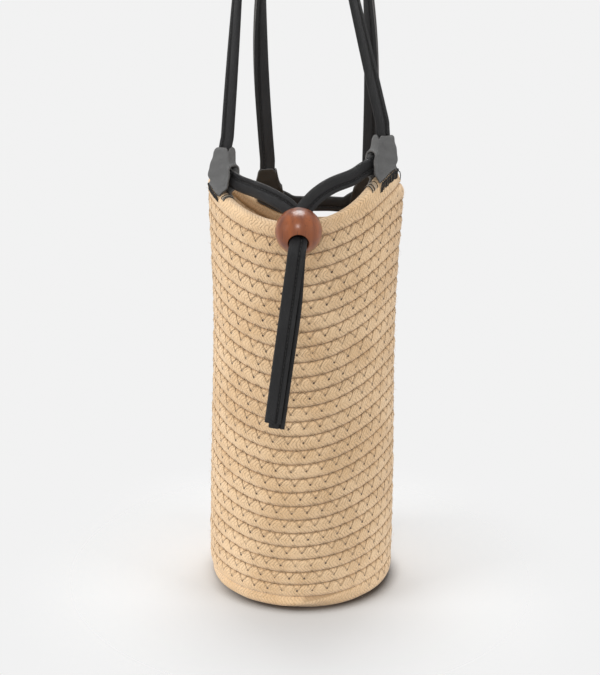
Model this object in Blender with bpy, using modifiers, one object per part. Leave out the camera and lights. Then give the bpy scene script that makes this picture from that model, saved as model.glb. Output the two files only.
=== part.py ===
"""Rope beach bag: coiled rope bucket, four rim tabs, two strap handles and a bead drawstring.

The frame is in metres: origin under the middle of the base, +X to the right, the front faces -Y, +Z up.
"""
import math

import bmesh
import bpy
from mathutils import Matrix, Vector

# Driving dimensions, in metres
ROPE_PITCH = 0.010
ROPE_WIDTH = 0.0095
BASE_HEIGHT = 0.0094
BASE_RADIUS = 0.0640
SADDLE_RISE = 0.0121
BACK_DROP = 0.0067
LEFT_SWELL = 0.0043
ROLL_RISE = 0.0060
STRAP_WIDTH = 0.0100
STRAP_THICKNESS = 0.0030
TAB_LENGTH = 0.0200
TAB_LEATHER = 0.0014
TAB_OVERLAP = 0.0050
BEAD_DIAMETER = 0.0280
TAIL_DROP = 0.1205
TAIL_STEP = 0.0055
HANDLE_RISE = 0.2850
LOOP_RADIUS = 0.0090
LOOP_SPACING = 0.0130
GAP = 0.0003

# Counts and angles in degrees
ROW_COUNT = 26
WALL_COLUMNS = 40
POINTS_PER_ROW = 2
BASE_STEPS = 48
BEAD_STEPS = 32
RUN_STATIONS = 36
STRAND_STATIONS = 14
ARC_STATIONS = 12
ROPE_END_ANGLE = -14.0
FRONT_ANGLE = -90.0
TAPER_ANGLE = 16.0
SADDLE_ANGLE = -8.4
SWELL_ANGLE = -27.5
SWELL_SPREAD = 22.0
ROLL_ANGLE = 322.0
ROLL_SPREAD = 20.0
TAIL_LEAN = 7.0
BASE_RIM_STEPS = 6

# Shares of the sizes above
WAIST_RADIUS_SHARE = 0.953
RIM_RADIUS_SHARE = 0.9953
WAIST_SHARES = (0.082, 0.677)
SADDLE_LENGTH_SHARE = 0.3434
FOLD_HEIGHT_SHARE = 0.4083
FOLD_DEPTH_SHARE = 0.478
SWELL_LENGTH_SHARE = 0.4380
GROOVE_SHARE = 0.684
EDGE_SHARE = 0.45
TAPER_SHARE = 0.35
CHAMFER_SHARE = 0.30
BEAD_LENGTH_SHARE = 0.93
BEAD_SIDE_SHARE = -0.31
BEAD_LOW_SHARE = 0.17
LOOP_SIDE_SHARE = -0.37
BACK_LOOP_SIDE_SHARE = -0.03
BACK_LOOP_WIDTH_SHARE = 2.6
BACK_LOOP_DROP_SHARE = 0.13
MOUTH_HEIGHT_SHARE = 0.85
BEND_RADIUS_SHARE = 1.10
EXIT_ALONG_SHARE = 1.20
EXIT_RISE_SHARE = 0.80
TUNNEL_FOOT_SHARE = 1.3
BASE_ROUND_SHARE = 1.17
BEAD_EDGE_SHARE = 0.08
LEAD_SHARE = 0.6
STRAIGHT_SHARE = 0.35
TWIST_SHARE = 0.8
STRAND_EASE = 1.5
STACK_SIDE_SHARE = 0.27

# Strap ends: shares of half the thickness that the end adds and keeps, and of the width from the end on
SQUARE_END = (0.35, 0.60, ())
TONGUE_END = (0.35, 0.60, (0.36, 0.48))
ROUND_END = (0.97, 0.35, (0.28, 0.36, 0.66))

# Sizes worked out from the driving dimensions
WAIST_RADIUS = WAIST_RADIUS_SHARE * BASE_RADIUS
RIM_RADIUS = RIM_RADIUS_SHARE * BASE_RADIUS
WALL_TOP = BASE_HEIGHT + ROW_COUNT * ROPE_PITCH
HALF_ROPE = ROPE_WIDTH / 2
HALF_STRAP = STRAP_THICKNESS / 2
STRAP_CHAMFER = CHAMFER_SHARE * STRAP_THICKNESS
MOUTH_HEIGHT = MOUTH_HEIGHT_SHARE * STRAP_WIDTH
BEND_RADIUS = BEND_RADIUS_SHARE * STRAP_WIDTH
EXIT_ALONG = EXIT_ALONG_SHARE * STRAP_WIDTH
EXIT_RISE = EXIT_RISE_SHARE * STRAP_WIDTH
FOLD_HEIGHT = MOUTH_HEIGHT + STRAP_WIDTH / 2 + TAB_LEATHER + 4 * GAP
TUNNEL_HALF = HALF_STRAP + 2 * GAP + TAB_LEATHER / 2
TUNNEL_FOOT = TUNNEL_FOOT_SHARE * TUNNEL_HALF
FLAP_HALF = HALF_ROPE + GAP + TAB_LEATHER / 2
HINGE_LIFT = (ROUND_END[0] + TONGUE_END[0]) * HALF_STRAP + 2.5 * GAP
BEAD_RADIUS = BEAD_DIAMETER / 2
BEAD_HALF_LENGTH = BEAD_LENGTH_SHARE * BEAD_RADIUS
STACK_HALF = STRAP_THICKNESS + GAP / 2
BORE_RADIUS = GAP + max(
    math.hypot(STRAP_WIDTH / 2, STACK_HALF - STRAP_CHAMFER),
    math.hypot(STRAP_WIDTH / 2 - STRAP_CHAMFER, STACK_HALF),
)

# Points of the front strap over the rim: angle, share of half the rope outward, share of the strap's width up
LEFT_RUN_SHARES = ((257.0, 1.0, 1.35), (243.0, 0.0, 1.5))
RIGHT_RUN_SHARES = ((272.5, 1.0, 1.65), (282.0, 0.0, 1.6), (297.7, 0.0, 1.5))
BACK_RUN_SHARES = ((86.0, 0.0, 0.9), (76.0, 0.0, 0.9))

# Rim tabs: angle of the middle, way from the mouth to the exit, turn of the upper part, lean inward
TAB_SHARES = {
    "tab_front_left": (201.5, -1, 25.0, 0.20),
    "tab_front_right": (324.0, 1, -16.0, 0.12),
    "tab_back_left": (113.0, 1, 0.0, 0.12),
    "tab_back_right": (47.0, -1, 0.0, 0.12),
}


def smooth(value):
    """Return a soft step from 0 to 1 for a value from 0 to 1."""
    value = min(max(value, 0.0), 1.0)
    return value * value * (3.0 - 2.0 * value)


def wrap(angle):
    """Return an angle in degrees between -180 and 180."""
    return (angle + 180.0) % 360.0 - 180.0


def bell(angle, spread):
    """Return a bell curve of an angle."""
    return math.exp(-(angle / spread) ** 2)


def rim_climb(angle):
    """Return how far up the wall the rim is at an unwrapped angle."""
    climb = BASE_HEIGHT + ROPE_PITCH * (ROW_COUNT - 1 + (angle - FRONT_ANGLE) / 360.0)
    left = ROPE_END_ANGLE + 360.0 - angle
    full = TAPER_SHARE + (1.0 - TAPER_SHARE) * smooth(left / TAPER_ANGLE)
    return climb - ROPE_PITCH * (1.0 - full)


def outer_point(angle, climb):
    """Return a point on the outside of the rope wall at an unwrapped angle."""
    turn = math.radians(angle)
    low, high = WAIST_SHARES
    if climb < high * WALL_TOP:
        share = smooth((climb / WALL_TOP - low) / (high - low))
        radius = BASE_RADIUS + (WAIST_RADIUS - BASE_RADIUS) * share
    else:
        share = smooth((climb / WALL_TOP - high) / (1.0 - high))
        radius = WAIST_RADIUS + (RIM_RADIUS - WAIST_RADIUS) * share
    fold_height = FOLD_HEIGHT_SHARE * WALL_TOP
    fold = smooth((climb - WALL_TOP + fold_height) / fold_height)
    back = max(math.sin(turn), 0.0)
    saddle = 1.0 - math.exp(-climb / (SADDLE_LENGTH_SHARE * WALL_TOP))
    swell = math.exp(-(WALL_TOP - climb) / (SWELL_LENGTH_SHARE * WALL_TOP))
    height = climb
    height += SADDLE_RISE * saddle * math.cos(2.0 * math.radians(angle - SADDLE_ANGLE))
    height -= BACK_DROP * fold * back * back
    height += LEFT_SWELL * swell * bell(wrap(angle - SWELL_ANGLE), SWELL_SPREAD)
    roll = smooth((climb - rim_climb(angle) + ROPE_PITCH) / ROPE_PITCH)
    height += ROLL_RISE * roll * bell(angle - ROLL_ANGLE, ROLL_SPREAD)
    depth = radius * math.sin(turn) * (1.0 - FOLD_DEPTH_SHARE * fold * back)
    return Vector((radius * math.cos(turn), depth, height))


def outward(angle, climb):
    """Return the level direction that faces out of the wall."""
    step = 0.5
    along = outer_point(angle + step, climb) - outer_point(angle - step, climb)
    return Vector((along.y, -along.x, 0.0)).normalized()


def middle_point(angle, climb):
    """Return a point in the middle of the wall's thickness."""
    return outer_point(angle, climb) - HALF_ROPE * outward(angle, climb)


def rim_point(angle, out, up):
    """Return a point by its distance out from the rim's centre line and its height over the rim."""
    climb = rim_climb(angle) + min(up, 0.0)
    over = Vector((0.0, 0.0, max(up, 0.0)))
    return middle_point(angle, climb) + out * outward(angle, climb) + over


def angle_at(tab, along):
    """Return the rim angle at a distance along a tab, counted from its mouth."""
    middle, way = TAB_SHARES[tab][:2]
    chord = rim_point(middle + 1.0, 0.0, 0.0) - rim_point(middle - 1.0, 0.0, 0.0)
    return middle + way * (along - TAB_LENGTH / 2) * 2.0 / chord.length


def tab_run(tab):
    """Return the straight line under a tab, from the rim at its mouth to the rim at its exit."""
    near = rim_point(angle_at(tab, 0.0), 0.0, 0.0)
    far = rim_point(angle_at(tab, TAB_LENGTH), 0.0, 0.0)
    return near, far - near


def tab_slope(tab):
    """Return how steeply the rim climbs under a tab, as an angle."""
    run = tab_run(tab)[1]
    return math.atan2(run.z, math.hypot(run.x, run.y))


def tab_point(tab, along, up, out):
    """Return a point of a tab: distance from the mouth, height over the rim, distance out."""
    middle, way, turn, lean = TAB_SHARES[tab]
    low = rim_point(angle_at(tab, along), out, up)
    near, run = tab_run(tab)
    level = Vector((run.x, run.y, 0.0)).normalized()
    offset = (along - TAB_LENGTH / 2) * level + out * Vector((level.y, -level.x, 0.0)) * way
    offset = Matrix.Rotation(math.radians(turn), 3, "Z") @ offset
    offset.z = up + (along - TAB_LENGTH / 2) * math.tan(tab_slope(tab))
    outer = outward(middle, rim_climb(middle))
    high = near + run / 2 + offset - lean * max(up, 0.0) * outer
    return low.lerp(high, smooth(up / TUNNEL_FOOT))


def strap_path(tab):
    """Return the strap's path in a tab: distance from the mouth, height over the rim, way of its width."""
    slope = tab_slope(tab)
    lead = (EXIT_ALONG - BEND_RADIUS * (1.0 - math.sin(slope))) / math.cos(slope)
    along = lead * math.cos(slope) - BEND_RADIUS * math.sin(slope)
    rise = MOUTH_HEIGHT + lead * math.sin(slope) + BEND_RADIUS * math.cos(slope)
    start = slope - math.pi / 2
    spots = [(0.0, MOUTH_HEIGHT, start)]
    for step in range(5):
        turn = start * (1.0 - step / 4)
        spots.append((along + BEND_RADIUS * math.cos(turn), rise + BEND_RADIUS * math.sin(turn), turn))
    spots.append((EXIT_ALONG, rise + EXIT_RISE, 0.0))
    return [(reach, up - reach * math.tan(slope), turn) for reach, up, turn in spots]


def exit_level(tab):
    """Return the height of a tab's upper edge."""
    along, up, turn = strap_path(tab)[-1]
    return tab_point(tab, along, up, 0.0).z


def hinge_point(tab):
    """Return the point over a tab's exit that its handle turns about."""
    along, up, turn = strap_path(tab)[-1]
    return tab_point(tab, along, up + HINGE_LIFT, 0.0)


def clean_scene():
    """Empty the scene and return the collections for the parts and their cutters."""
    for item in list(bpy.data.objects):
        bpy.data.objects.remove(item, do_unlink=True)
    found = []
    for name in ("Parts", "Cutters"):
        collection = bpy.data.collections.new(name)
        bpy.context.scene.collection.children.link(collection)
        found.append(collection)
    return found


def make_material(name, colour, roughness):
    """Return a plain material."""
    material = bpy.data.materials.new(name)
    material.use_nodes = True
    shader = material.node_tree.nodes["Principled BSDF"]
    shader.inputs["Base Color"].default_value = (*colour, 1.0)
    shader.inputs["Roughness"].default_value = roughness
    return material


def place(name, points, faces, origin, collection, look):
    """Make an object from points in the shared frame, with its origin at a given point."""
    mesh = bpy.data.meshes.new(name)
    mesh.from_pydata([tuple(point - origin) for point in points], [], faces)
    shell = bmesh.new()
    shell.from_mesh(mesh)
    bmesh.ops.recalc_face_normals(shell, faces=shell.faces)
    shell.to_mesh(mesh)
    shell.free()
    part = bpy.data.objects.new(name, mesh)
    part.location = origin
    collection.objects.link(part)
    colour, roughness = look
    mesh.materials.append(make_material(name, colour, roughness))
    return part


def cut(part, cutter):
    """Cut one object out of another."""
    cutter.hide_render = True
    cutter.display_type = "WIRE"
    step = part.modifiers.new("cut", "BOOLEAN")
    step.operation = "DIFFERENCE"
    step.solver = "EXACT"
    step.object = cutter


def make_wall(parts, cutters, look):
    """Make the bucket wall: one rope wound as a helix, each row meeting the next."""
    levels = POINTS_PER_ROW * (ROW_COUNT + 1) + 1
    first = BASE_HEIGHT + ROPE_PITCH * ((ROPE_END_ANGLE - FRONT_ANGLE) / 360.0 - 2.0)
    points = []
    shares = []
    for column in range(WALL_COLUMNS):
        angle = ROPE_END_ANGLE + 360.0 * column / WALL_COLUMNS
        lift = ROPE_PITCH * column / WALL_COLUMNS
        row_foot = first + lift + ROPE_PITCH * ROW_COUNT
        for level in range(levels):
            climb = first + lift + ROPE_PITCH * level / POINTS_PER_ROW
            if climb > row_foot:
                climb = row_foot + (climb - row_foot) * (rim_climb(angle) - row_foot) / ROPE_PITCH
            points.append(middle_point(angle, climb))
            in_groove = level % POINTS_PER_ROW == 0
            shares.append(GROOVE_SHARE if in_groove else 1.0)
        shares[-1] = EDGE_SHARE
    faces = []
    for column in range(WALL_COLUMNS - 1):
        for level in range(levels - 1):
            corner = column * levels + level
            faces.append((corner, corner + levels, corner + levels + 1, corner + 1))
    last = (WALL_COLUMNS - 1) * levels
    for level in range(levels - 1 - POINTS_PER_ROW):
        near = last + level
        far = level + POINTS_PER_ROW
        faces.append((near, far, far + 1, near + 1))
    wall = place("rope_wall", points, faces, Vector(), parts, look)
    group = wall.vertex_groups.new(name="thickness")
    for index, share in enumerate(shares):
        group.add([index], share, "REPLACE")
    step = wall.modifiers.new("rope", "SOLIDIFY")
    step.thickness = ROPE_WIDTH
    step.offset = 0.0
    step.use_even_offset = False
    step.vertex_group = "thickness"
    floor = BASE_HEIGHT + GAP
    foot = make_box("wall_foot", 4 * BASE_RADIUS, floor - 4 * ROPE_PITCH, floor, cutters)
    cut(wall, foot)
    return wall


def make_box(name, side, low, high, collection):
    """Make a square box between two heights."""
    bpy.ops.mesh.primitive_cube_add(size=1.0, location=(0.0, 0.0, (low + high) / 2))
    box = bpy.context.active_object
    box.name = name
    box.data.transform(Matrix.Diagonal((side, side, high - low, 1.0)))
    for holder in list(box.users_collection):
        holder.objects.unlink(box)
    collection.objects.link(box)
    return box


def turn_profile(name, profile, closed, steps, collection, look):
    """Turn a profile of radius and height pairs about the Z axis."""
    points = [Vector((radius, 0.0, height)) for radius, height in profile]
    count = len(points)
    mesh = bpy.data.meshes.new(name)
    edges = [(index, index + 1) for index in range(count - 1)]
    if closed:
        edges.append((count - 1, 0))
    mesh.from_pydata([tuple(point) for point in points], edges, [])
    part = bpy.data.objects.new(name, mesh)
    collection.objects.link(part)
    colour, roughness = look
    mesh.materials.append(make_material(name, colour, roughness))
    step = part.modifiers.new("turn", "SCREW")
    step.axis = "Z"
    step.steps = steps
    step.render_steps = steps
    step.use_merge_vertices = True
    step.merge_threshold = 0.00001
    step.use_smooth_shade = False
    step.use_normal_calculate = True
    return part


def make_base(parts, look):
    """Make the coiled base: flat below, rounded at its edge, ringed on the inner floor."""
    groove_depth = (1.0 - GROOVE_SHARE) * HALF_ROPE
    profile = [(0.0, 0.0)]
    half = BASE_HEIGHT / 2
    flat = BASE_RADIUS - BASE_ROUND_SHARE * half
    profile.append((flat, 0.0))
    for step in range(1, BASE_RIM_STEPS):
        turn = math.pi * (step / BASE_RIM_STEPS - 0.5)
        radius = flat + (BASE_RADIUS - flat) * math.cos(turn)
        profile.append((radius, half + half * math.sin(turn)))
    top = BASE_RADIUS - groove_depth
    profile[-1] = (top + 0.25 * groove_depth, profile[-1][1])
    profile.append((top, BASE_HEIGHT))
    ring = BASE_RADIUS - ROPE_PITCH
    profile.append((ring + 0.12 * ROPE_PITCH, BASE_HEIGHT))
    while ring > ROPE_PITCH:
        profile.append((ring, BASE_HEIGHT - groove_depth))
        profile.append((ring - 0.3 * ROPE_PITCH, BASE_HEIGHT - 0.1 * groove_depth))
        profile.append((ring - 0.7 * ROPE_PITCH, BASE_HEIGHT - 0.1 * groove_depth))
        ring -= ROPE_PITCH
    profile.append((max(ring, 0.3 * ROPE_PITCH), BASE_HEIGHT - groove_depth))
    profile.append((0.0, BASE_HEIGHT - 0.1 * groove_depth))
    return turn_profile("rope_base", profile, False, BASE_STEPS, parts, look)


def curve_at(knots, share):
    """Return the point at a share of a smooth curve through the knots."""
    line = [2 * knots[0] - knots[1], *knots, 2 * knots[-1] - knots[-2]]
    spans = len(knots) - 1
    span = min(int(share * spans), spans - 1)
    share = share * spans - span
    before, start, end, after = line[span:span + 4]
    cube = share ** 3 * (3 * start - before - 3 * end + after)
    square = share ** 2 * (2 * before - 5 * start + 4 * end - after)
    return (2 * start + share * (end - before) + square + cube) / 2


def even_line(knots, turns, stations):
    """Return evenly spaced centres on a smooth curve through the knots, and the width directions there."""
    samples = 16 * (len(knots) - 1)
    reached = [0.0]
    points = [knots[0]]
    for sample in range(1, samples + 1):
        points.append(curve_at(knots, sample / samples))
        reached.append(reached[-1] + (points[-1] - points[-2]).length)
    centres = []
    widths = []
    sample = 0
    for station in range(stations):
        wanted = reached[-1] * station / (stations - 1)
        while sample < samples - 1 and reached[sample + 1] < wanted:
            sample += 1
        share = (wanted - reached[sample]) / (reached[sample + 1] - reached[sample])
        centres.append(points[sample].lerp(points[sample + 1], share))
        widths.append(curve_at(turns, (sample + min(share, 1.0)) / samples))
    return centres, widths


def end_width(end, place):
    """Return the share of a strap's width at a place counted from its end."""
    shares = end[2]
    return shares[place] if place < len(shares) else 1.0


def sweep(name, centres, widths, ends, origin, collection, look):
    """Make a strap along a line of centres, with the direction of its width at each."""
    start, finish = ends
    first = centres[0] + start[0] * HALF_STRAP * (centres[0] - centres[1]).normalized()
    last = centres[-1] + finish[0] * HALF_STRAP * (centres[-1] - centres[-2]).normalized()
    centres = [first, *centres, last]
    widths = [widths[0], *widths, widths[-1]]
    corner = STRAP_CHAMFER
    count = len(centres)
    points = []
    for index in range(count):
        before = centres[max(index - 1, 0)]
        after = centres[min(index + 1, count - 1)]
        along = (after - before).normalized()
        across = widths[index] - widths[index].dot(along) * along
        across.normalize()
        through = along.cross(across)
        slim = {0: start[1], count - 1: finish[1]}.get(index, 1.0)
        share = end_width(start, index) * end_width(finish, count - 1 - index)
        half = share * STRAP_WIDTH / 2
        for side, deep in (
            (half, -slim * (HALF_STRAP - corner)),
            (half, slim * (HALF_STRAP - corner)),
            (half - corner, slim * HALF_STRAP),
            (corner - half, slim * HALF_STRAP),
            (-half, slim * (HALF_STRAP - corner)),
            (-half, -slim * (HALF_STRAP - corner)),
            (corner - half, -slim * HALF_STRAP),
            (half - corner, -slim * HALF_STRAP),
        ):
            points.append(centres[index] + side * across + deep * through)
    faces = [tuple(range(8)), tuple(range(8 * count - 8, 8 * count))]
    for index in range(count - 1):
        for side in range(8):
            near = 8 * index + side
            beside = 8 * index + (side + 1) % 8
            faces.append((near, beside, beside + 8, near + 8))
    return place(name, points, faces, origin, collection, look)


def tunnel_line(tab):
    """Return the strap's centres and width directions inside a tab, from its mouth to its exit."""
    climb = math.tan(tab_slope(tab))
    reach = STRAP_WIDTH / 4
    centres = []
    widths = []
    for along, up, turn in strap_path(tab):
        side = reach * math.cos(turn)
        rise = reach * math.sin(turn)
        centre = tab_point(tab, along, up, 0.0)
        beside = tab_point(tab, along + side, up + rise - side * climb, 0.0)
        centres.append(centre)
        widths.append((beside - centre).normalized())
    return centres, widths


def make_tab(tab, parts, look):
    """Make a rim tab: a folded sheet over the rim rope, open at its mouth and at its exit."""
    level = exit_level(tab)
    fold_end = EXIT_ALONG - STRAP_WIDTH / 2 - TAB_LEATHER - GAP
    columns = [0.0, fold_end / 2, fold_end]
    open_from = len(columns)
    for share in (0.25, 0.6, 1.0):
        columns.append(fold_end + share * (TAB_LENGTH - fold_end))
    points = []
    index_of = {}
    for column, along in enumerate(columns):
        foot = tab_point(tab, along, 0.0, 0.0).z
        share = min(along / fold_end, 1.0)
        top = (1.0 - share) * FOLD_HEIGHT + share * (level - foot)
        closed = column < open_from
        crown = top if closed else top + TUNNEL_HALF
        rows = [
            (FLAP_HALF, -TAB_OVERLAP),
            (FLAP_HALF, -0.2 * TAB_OVERLAP),
            (TUNNEL_HALF, TUNNEL_FOOT),
            (TUNNEL_HALF, (TUNNEL_FOOT + crown - TUNNEL_HALF) / 2),
            (TUNNEL_HALF, crown - TUNNEL_HALF),
            (0.7 * TUNNEL_HALF, crown - 0.3 * TUNNEL_HALF),
            (0.0, crown),
        ]
        rows += [(-out, up) for out, up in reversed(rows[:-1])]
        for row, (out, up) in enumerate(rows):
            if not closed and 5 <= row <= 7:
                continue
            slim = 1.0 - 0.12 * smooth(up / MOUTH_HEIGHT) * share
            index_of[column, row] = len(points)
            points.append(tab_point(tab, along * slim, up, out))
    faces = []
    for column in range(len(columns) - 1):
        for row in range(12):
            corners = [(column, row), (column + 1, row), (column + 1, row + 1), (column, row + 1)]
            if all(corner in index_of for corner in corners):
                faces.append(tuple(index_of[corner] for corner in corners))
    part = place(tab, points, faces, Vector(), parts, look)
    step = part.modifiers.new("leather", "SOLIDIFY")
    step.thickness = TAB_LEATHER
    step.offset = 0.0
    step.use_even_offset = True
    return part


def bead_centre():
    """Return the middle of the bead, just in front of the rim."""
    front = rim_point(360.0 + FRONT_ANGLE, 0.0, 0.0)
    depth = -(RIM_RADIUS + 2.5 * GAP + BEAD_RADIUS)
    return Vector((BEAD_SIDE_SHARE * BEAD_RADIUS, depth, front.z - BEAD_LOW_SHARE * BEAD_RADIUS))


def tail_up():
    """Return the direction of the bead's bore, upward."""
    lean = math.radians(TAIL_LEAN)
    return Vector((math.sin(lean), 0.0, math.cos(lean)))


def bend_rise():
    """Return how far over the bead's middle its straps start to bend back."""
    return BEAD_HALF_LENGTH + GAP


def stack_end():
    """Return the middle of the rear ends of the two tails, over the bead."""
    reach = HALF_STRAP + GAP / 2 + STRAP_THICKNESS
    back = bead_centre() + Vector((0.0, reach + STRAP_THICKNESS, 0.0))
    return back + (bend_rise() + reach) * tail_up()


def swing_point():
    """Return the point that the two tails swing about."""
    top = STACK_HALF + HALF_STRAP / 2
    return stack_end() + top * tail_up() + Vector((0.0, GAP, 0.0))


def tail_line(side):
    """Return the centres of a tail from its lower end to its rear end; side is -1 in front, 1 behind."""
    centre = bead_centre()
    up = tail_up()
    offset = side * (HALF_STRAP + GAP / 2)
    inner = HALF_STRAP + GAP / 2 + HALF_STRAP
    bend_depth = centre.y + HALF_STRAP + GAP / 2 + inner
    bend = Vector((centre.x, bend_depth, centre.z)) + bend_rise() * up
    low = centre - (TAIL_DROP + (TAIL_STEP if side > 0 else 0.0)) * up
    low.y = centre.y + offset
    high = centre + bend_rise() * up
    high.y = centre.y + offset
    centres = [low.lerp(high, step / 5) for step in range(6)]
    radius = bend_depth - high.y
    for step in range(1, 6):
        turn = math.radians(90.0 * step / 5)
        back = Vector((0.0, -radius * math.cos(turn), 0.0))
        centres.append(bend + back + radius * math.sin(turn) * up)
    last = centres[-1].copy()
    last.y = stack_end().y - GAP
    centres.append(last)
    return centres


def make_tail(name, side, parts, look):
    """Make one of the two hanging ends of the front strap."""
    lean = math.radians(TAIL_LEAN)
    wide = Vector((math.cos(lean), 0.0, -math.sin(lean)))
    centres = tail_line(side)
    widths = [wide] * len(centres)
    return sweep(name, centres, widths, (SQUARE_END, SQUARE_END), swing_point(), parts, look)


def make_bead(parts, look):
    """Make the turned wooden bead with its bore."""
    edge = BEAD_EDGE_SHARE * BEAD_RADIUS
    start = math.asin((BORE_RADIUS + edge) / BEAD_RADIUS)
    profile = []
    for step in range(15):
        turn = start + (math.pi - 2 * start) * step / 14
        profile.append((BEAD_RADIUS * math.sin(turn), BEAD_HALF_LENGTH * math.cos(turn)))
    mouth = profile[0][1] - 0.7 * edge
    profile.append((BORE_RADIUS, -mouth))
    profile.append((BORE_RADIUS, mouth))
    bead = turn_profile("wood_bead", profile, True, BEAD_STEPS, parts, look)
    bead.rotation_euler = (0.0, math.radians(TAIL_LEAN), 0.0)
    bead.location = bead_centre()
    return bead


def lead_in(centres):
    """Return a point straight in front of the mouth of a tab."""
    return centres[0] + LEAD_SHARE * STRAP_WIDTH * (centres[0] - centres[1]).normalized()


def over_rim(shares):
    """Return the points of a strap that passes over the rim."""
    points = []
    for angle, out, up in shares:
        points.append(rim_point(angle, out * HALF_ROPE, up * STRAP_WIDTH))
    return points


def make_front_run(name, tab, knots, parts, look):
    """Make the strap between the bead and the exit of a front tab."""
    down = Vector((0.0, 0.0, -1.0))
    centres, widths = tunnel_line(tab)
    turns = [*[down] * len(knots), widths[0], *widths]
    line, wide = even_line([*knots, lead_in(centres), *centres], turns, RUN_STATIONS)
    return sweep(name, line, wide, (SQUARE_END, TONGUE_END), Vector(), parts, look)


def make_back_run(parts, look):
    """Make the strap from the exit of one back tab, along the rim, to the exit of the other."""
    left, left_widths = tunnel_line("tab_back_left")
    right, right_widths = tunnel_line("tab_back_right")
    down = Vector((0.0, 0.0, -1.0))
    sag = [lead_in(left), *over_rim(BACK_RUN_SHARES), lead_in(right)]
    knots = [*reversed(left), *sag, *right]
    turns = [*reversed(left_widths), left_widths[0], down, down, right_widths[0], *right_widths]
    line, wide = even_line(knots, turns, 2 * RUN_STATIONS)
    return sweep("back_strap_run", line, wide, (TONGUE_END, TONGUE_END), Vector(), parts, look)


def tangent(start, centre, radius, side):
    """Return where a straight line from a point touches a circle in the XZ plane."""
    way = Vector((centre.x - start.x, centre.z - start.z))
    reach = math.sqrt(way.length_squared - radius * radius)
    turn = side * math.asin(radius / way.length)
    way.normalize()
    across = way.x * math.cos(turn) - way.y * math.sin(turn)
    rise = way.x * math.sin(turn) + way.y * math.cos(turn)
    return Vector((start.x + reach * across, centre.y, start.z + reach * rise))


def make_handle(name, tabs, centre, radius, facing, parts, look):
    """Make a strap handle: up from one tab, over a loop and down to the other."""
    left = hinge_point(tabs[0])
    right = hinge_point(tabs[1])
    left_line, left_turns = tunnel_line(tabs[0])
    right_line, right_turns = tunnel_line(tabs[1])
    straight = STRAIGHT_SHARE * STRAP_WIDTH
    left_top = left + straight * (left_line[-1] - left_line[-2]).normalized()
    right_top = right + straight * (right_line[-1] - right_line[-2]).normalized()
    left_touch = tangent(left_top, centre, radius, 1.0)
    right_touch = tangent(right_top, centre, radius, -1.0)
    start = math.atan2(left_touch.z - centre.z, left_touch.x - centre.x)
    end = math.atan2(right_touch.z - centre.z, right_touch.x - centre.x)
    if start < 0.0:
        start += 2.0 * math.pi
    centres = [left]
    widths = [left_turns[-1]]
    for step in range(STRAND_STATIONS):
        share = (step / STRAND_STATIONS) ** STRAND_EASE
        centres.append(left_top.lerp(left_touch, share))
        widths.append(left_turns[-1].lerp(facing, smooth(share / TWIST_SHARE)))
    for step in range(ARC_STATIONS + 1):
        turn = start + (end - start) * step / ARC_STATIONS
        centres.append(centre + radius * Vector((math.cos(turn), 0.0, math.sin(turn))))
        widths.append(facing)
    for step in range(1, STRAND_STATIONS + 1):
        share = (1.0 - step / STRAND_STATIONS) ** STRAND_EASE
        centres.append(right_top.lerp(right_touch, share))
        widths.append(right_turns[-1].lerp(facing, smooth(share / TWIST_SHARE)))
    centres.append(right)
    widths.append(right_turns[-1])
    return sweep(name, centres, widths, (ROUND_END, ROUND_END), (left + right) / 2, parts, look)


def main():
    """Build every part of the bag."""
    parts, cutters = clean_scene()
    rope = ((0.72, 0.55, 0.37), 0.9)
    leather = ((0.03, 0.03, 0.032), 0.5)
    wood = ((0.25, 0.09, 0.04), 0.25)
    make_wall(parts, cutters, rope)
    make_base(parts, rope)
    for tab in TAB_SHARES:
        make_tab(tab, parts, leather)
    end = stack_end()
    side = Vector((STACK_SIDE_SHARE * STRAP_WIDTH, 0.0, 0.0))
    back = Vector((0.0, HALF_STRAP + GAP, 0.0))
    left_knots = [end - side + back, *over_rim(LEFT_RUN_SHARES)]
    right_knots = [end + side + back, *over_rim(RIGHT_RUN_SHARES)]
    make_front_run("front_strap_left_run", "tab_front_left", left_knots, parts, leather)
    make_front_run("front_strap_right_run", "tab_front_right", right_knots, parts, leather)
    make_back_run(parts, leather)
    level = WALL_TOP + HANDLE_RISE
    near = Vector((LOOP_SIDE_SHARE * RIM_RADIUS, -LOOP_SPACING / 2, level - LOOP_RADIUS))
    wide = BACK_LOOP_WIDTH_SHARE * LOOP_RADIUS
    drop = BACK_LOOP_DROP_SHARE * HANDLE_RISE
    far = Vector((BACK_LOOP_SIDE_SHARE * RIM_RADIUS, LOOP_SPACING / 2, level - drop))
    front_tabs = ("tab_front_left", "tab_front_right")
    back_tabs = ("tab_back_left", "tab_back_right")
    ahead = Vector((0.0, 1.0, 0.0))
    make_handle("front_handle", front_tabs, near, LOOP_RADIUS, ahead, parts, leather)
    make_handle("back_handle", back_tabs, far, wide, -ahead, parts, leather)
    make_tail("front_tail", -1, parts, leather)
    make_tail("rear_tail", 1, parts, leather)
    make_bead(parts, wood)


main()
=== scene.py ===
"""The looks of the rope beach bag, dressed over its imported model.

Lengths are in metres and angles in degrees. The bag stands over the origin, its bead faces -Y, and +Z is up.
Left and right are as in the photograph, so the left is towards -X.
"""

import logging
import math
from collections.abc import Iterator, Sequence
from contextlib import contextmanager
from dataclasses import dataclass, field
from enum import Enum
from functools import partialmethod

import bpy
import numpy as np
from mathutils import Matrix, Vector


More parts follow.
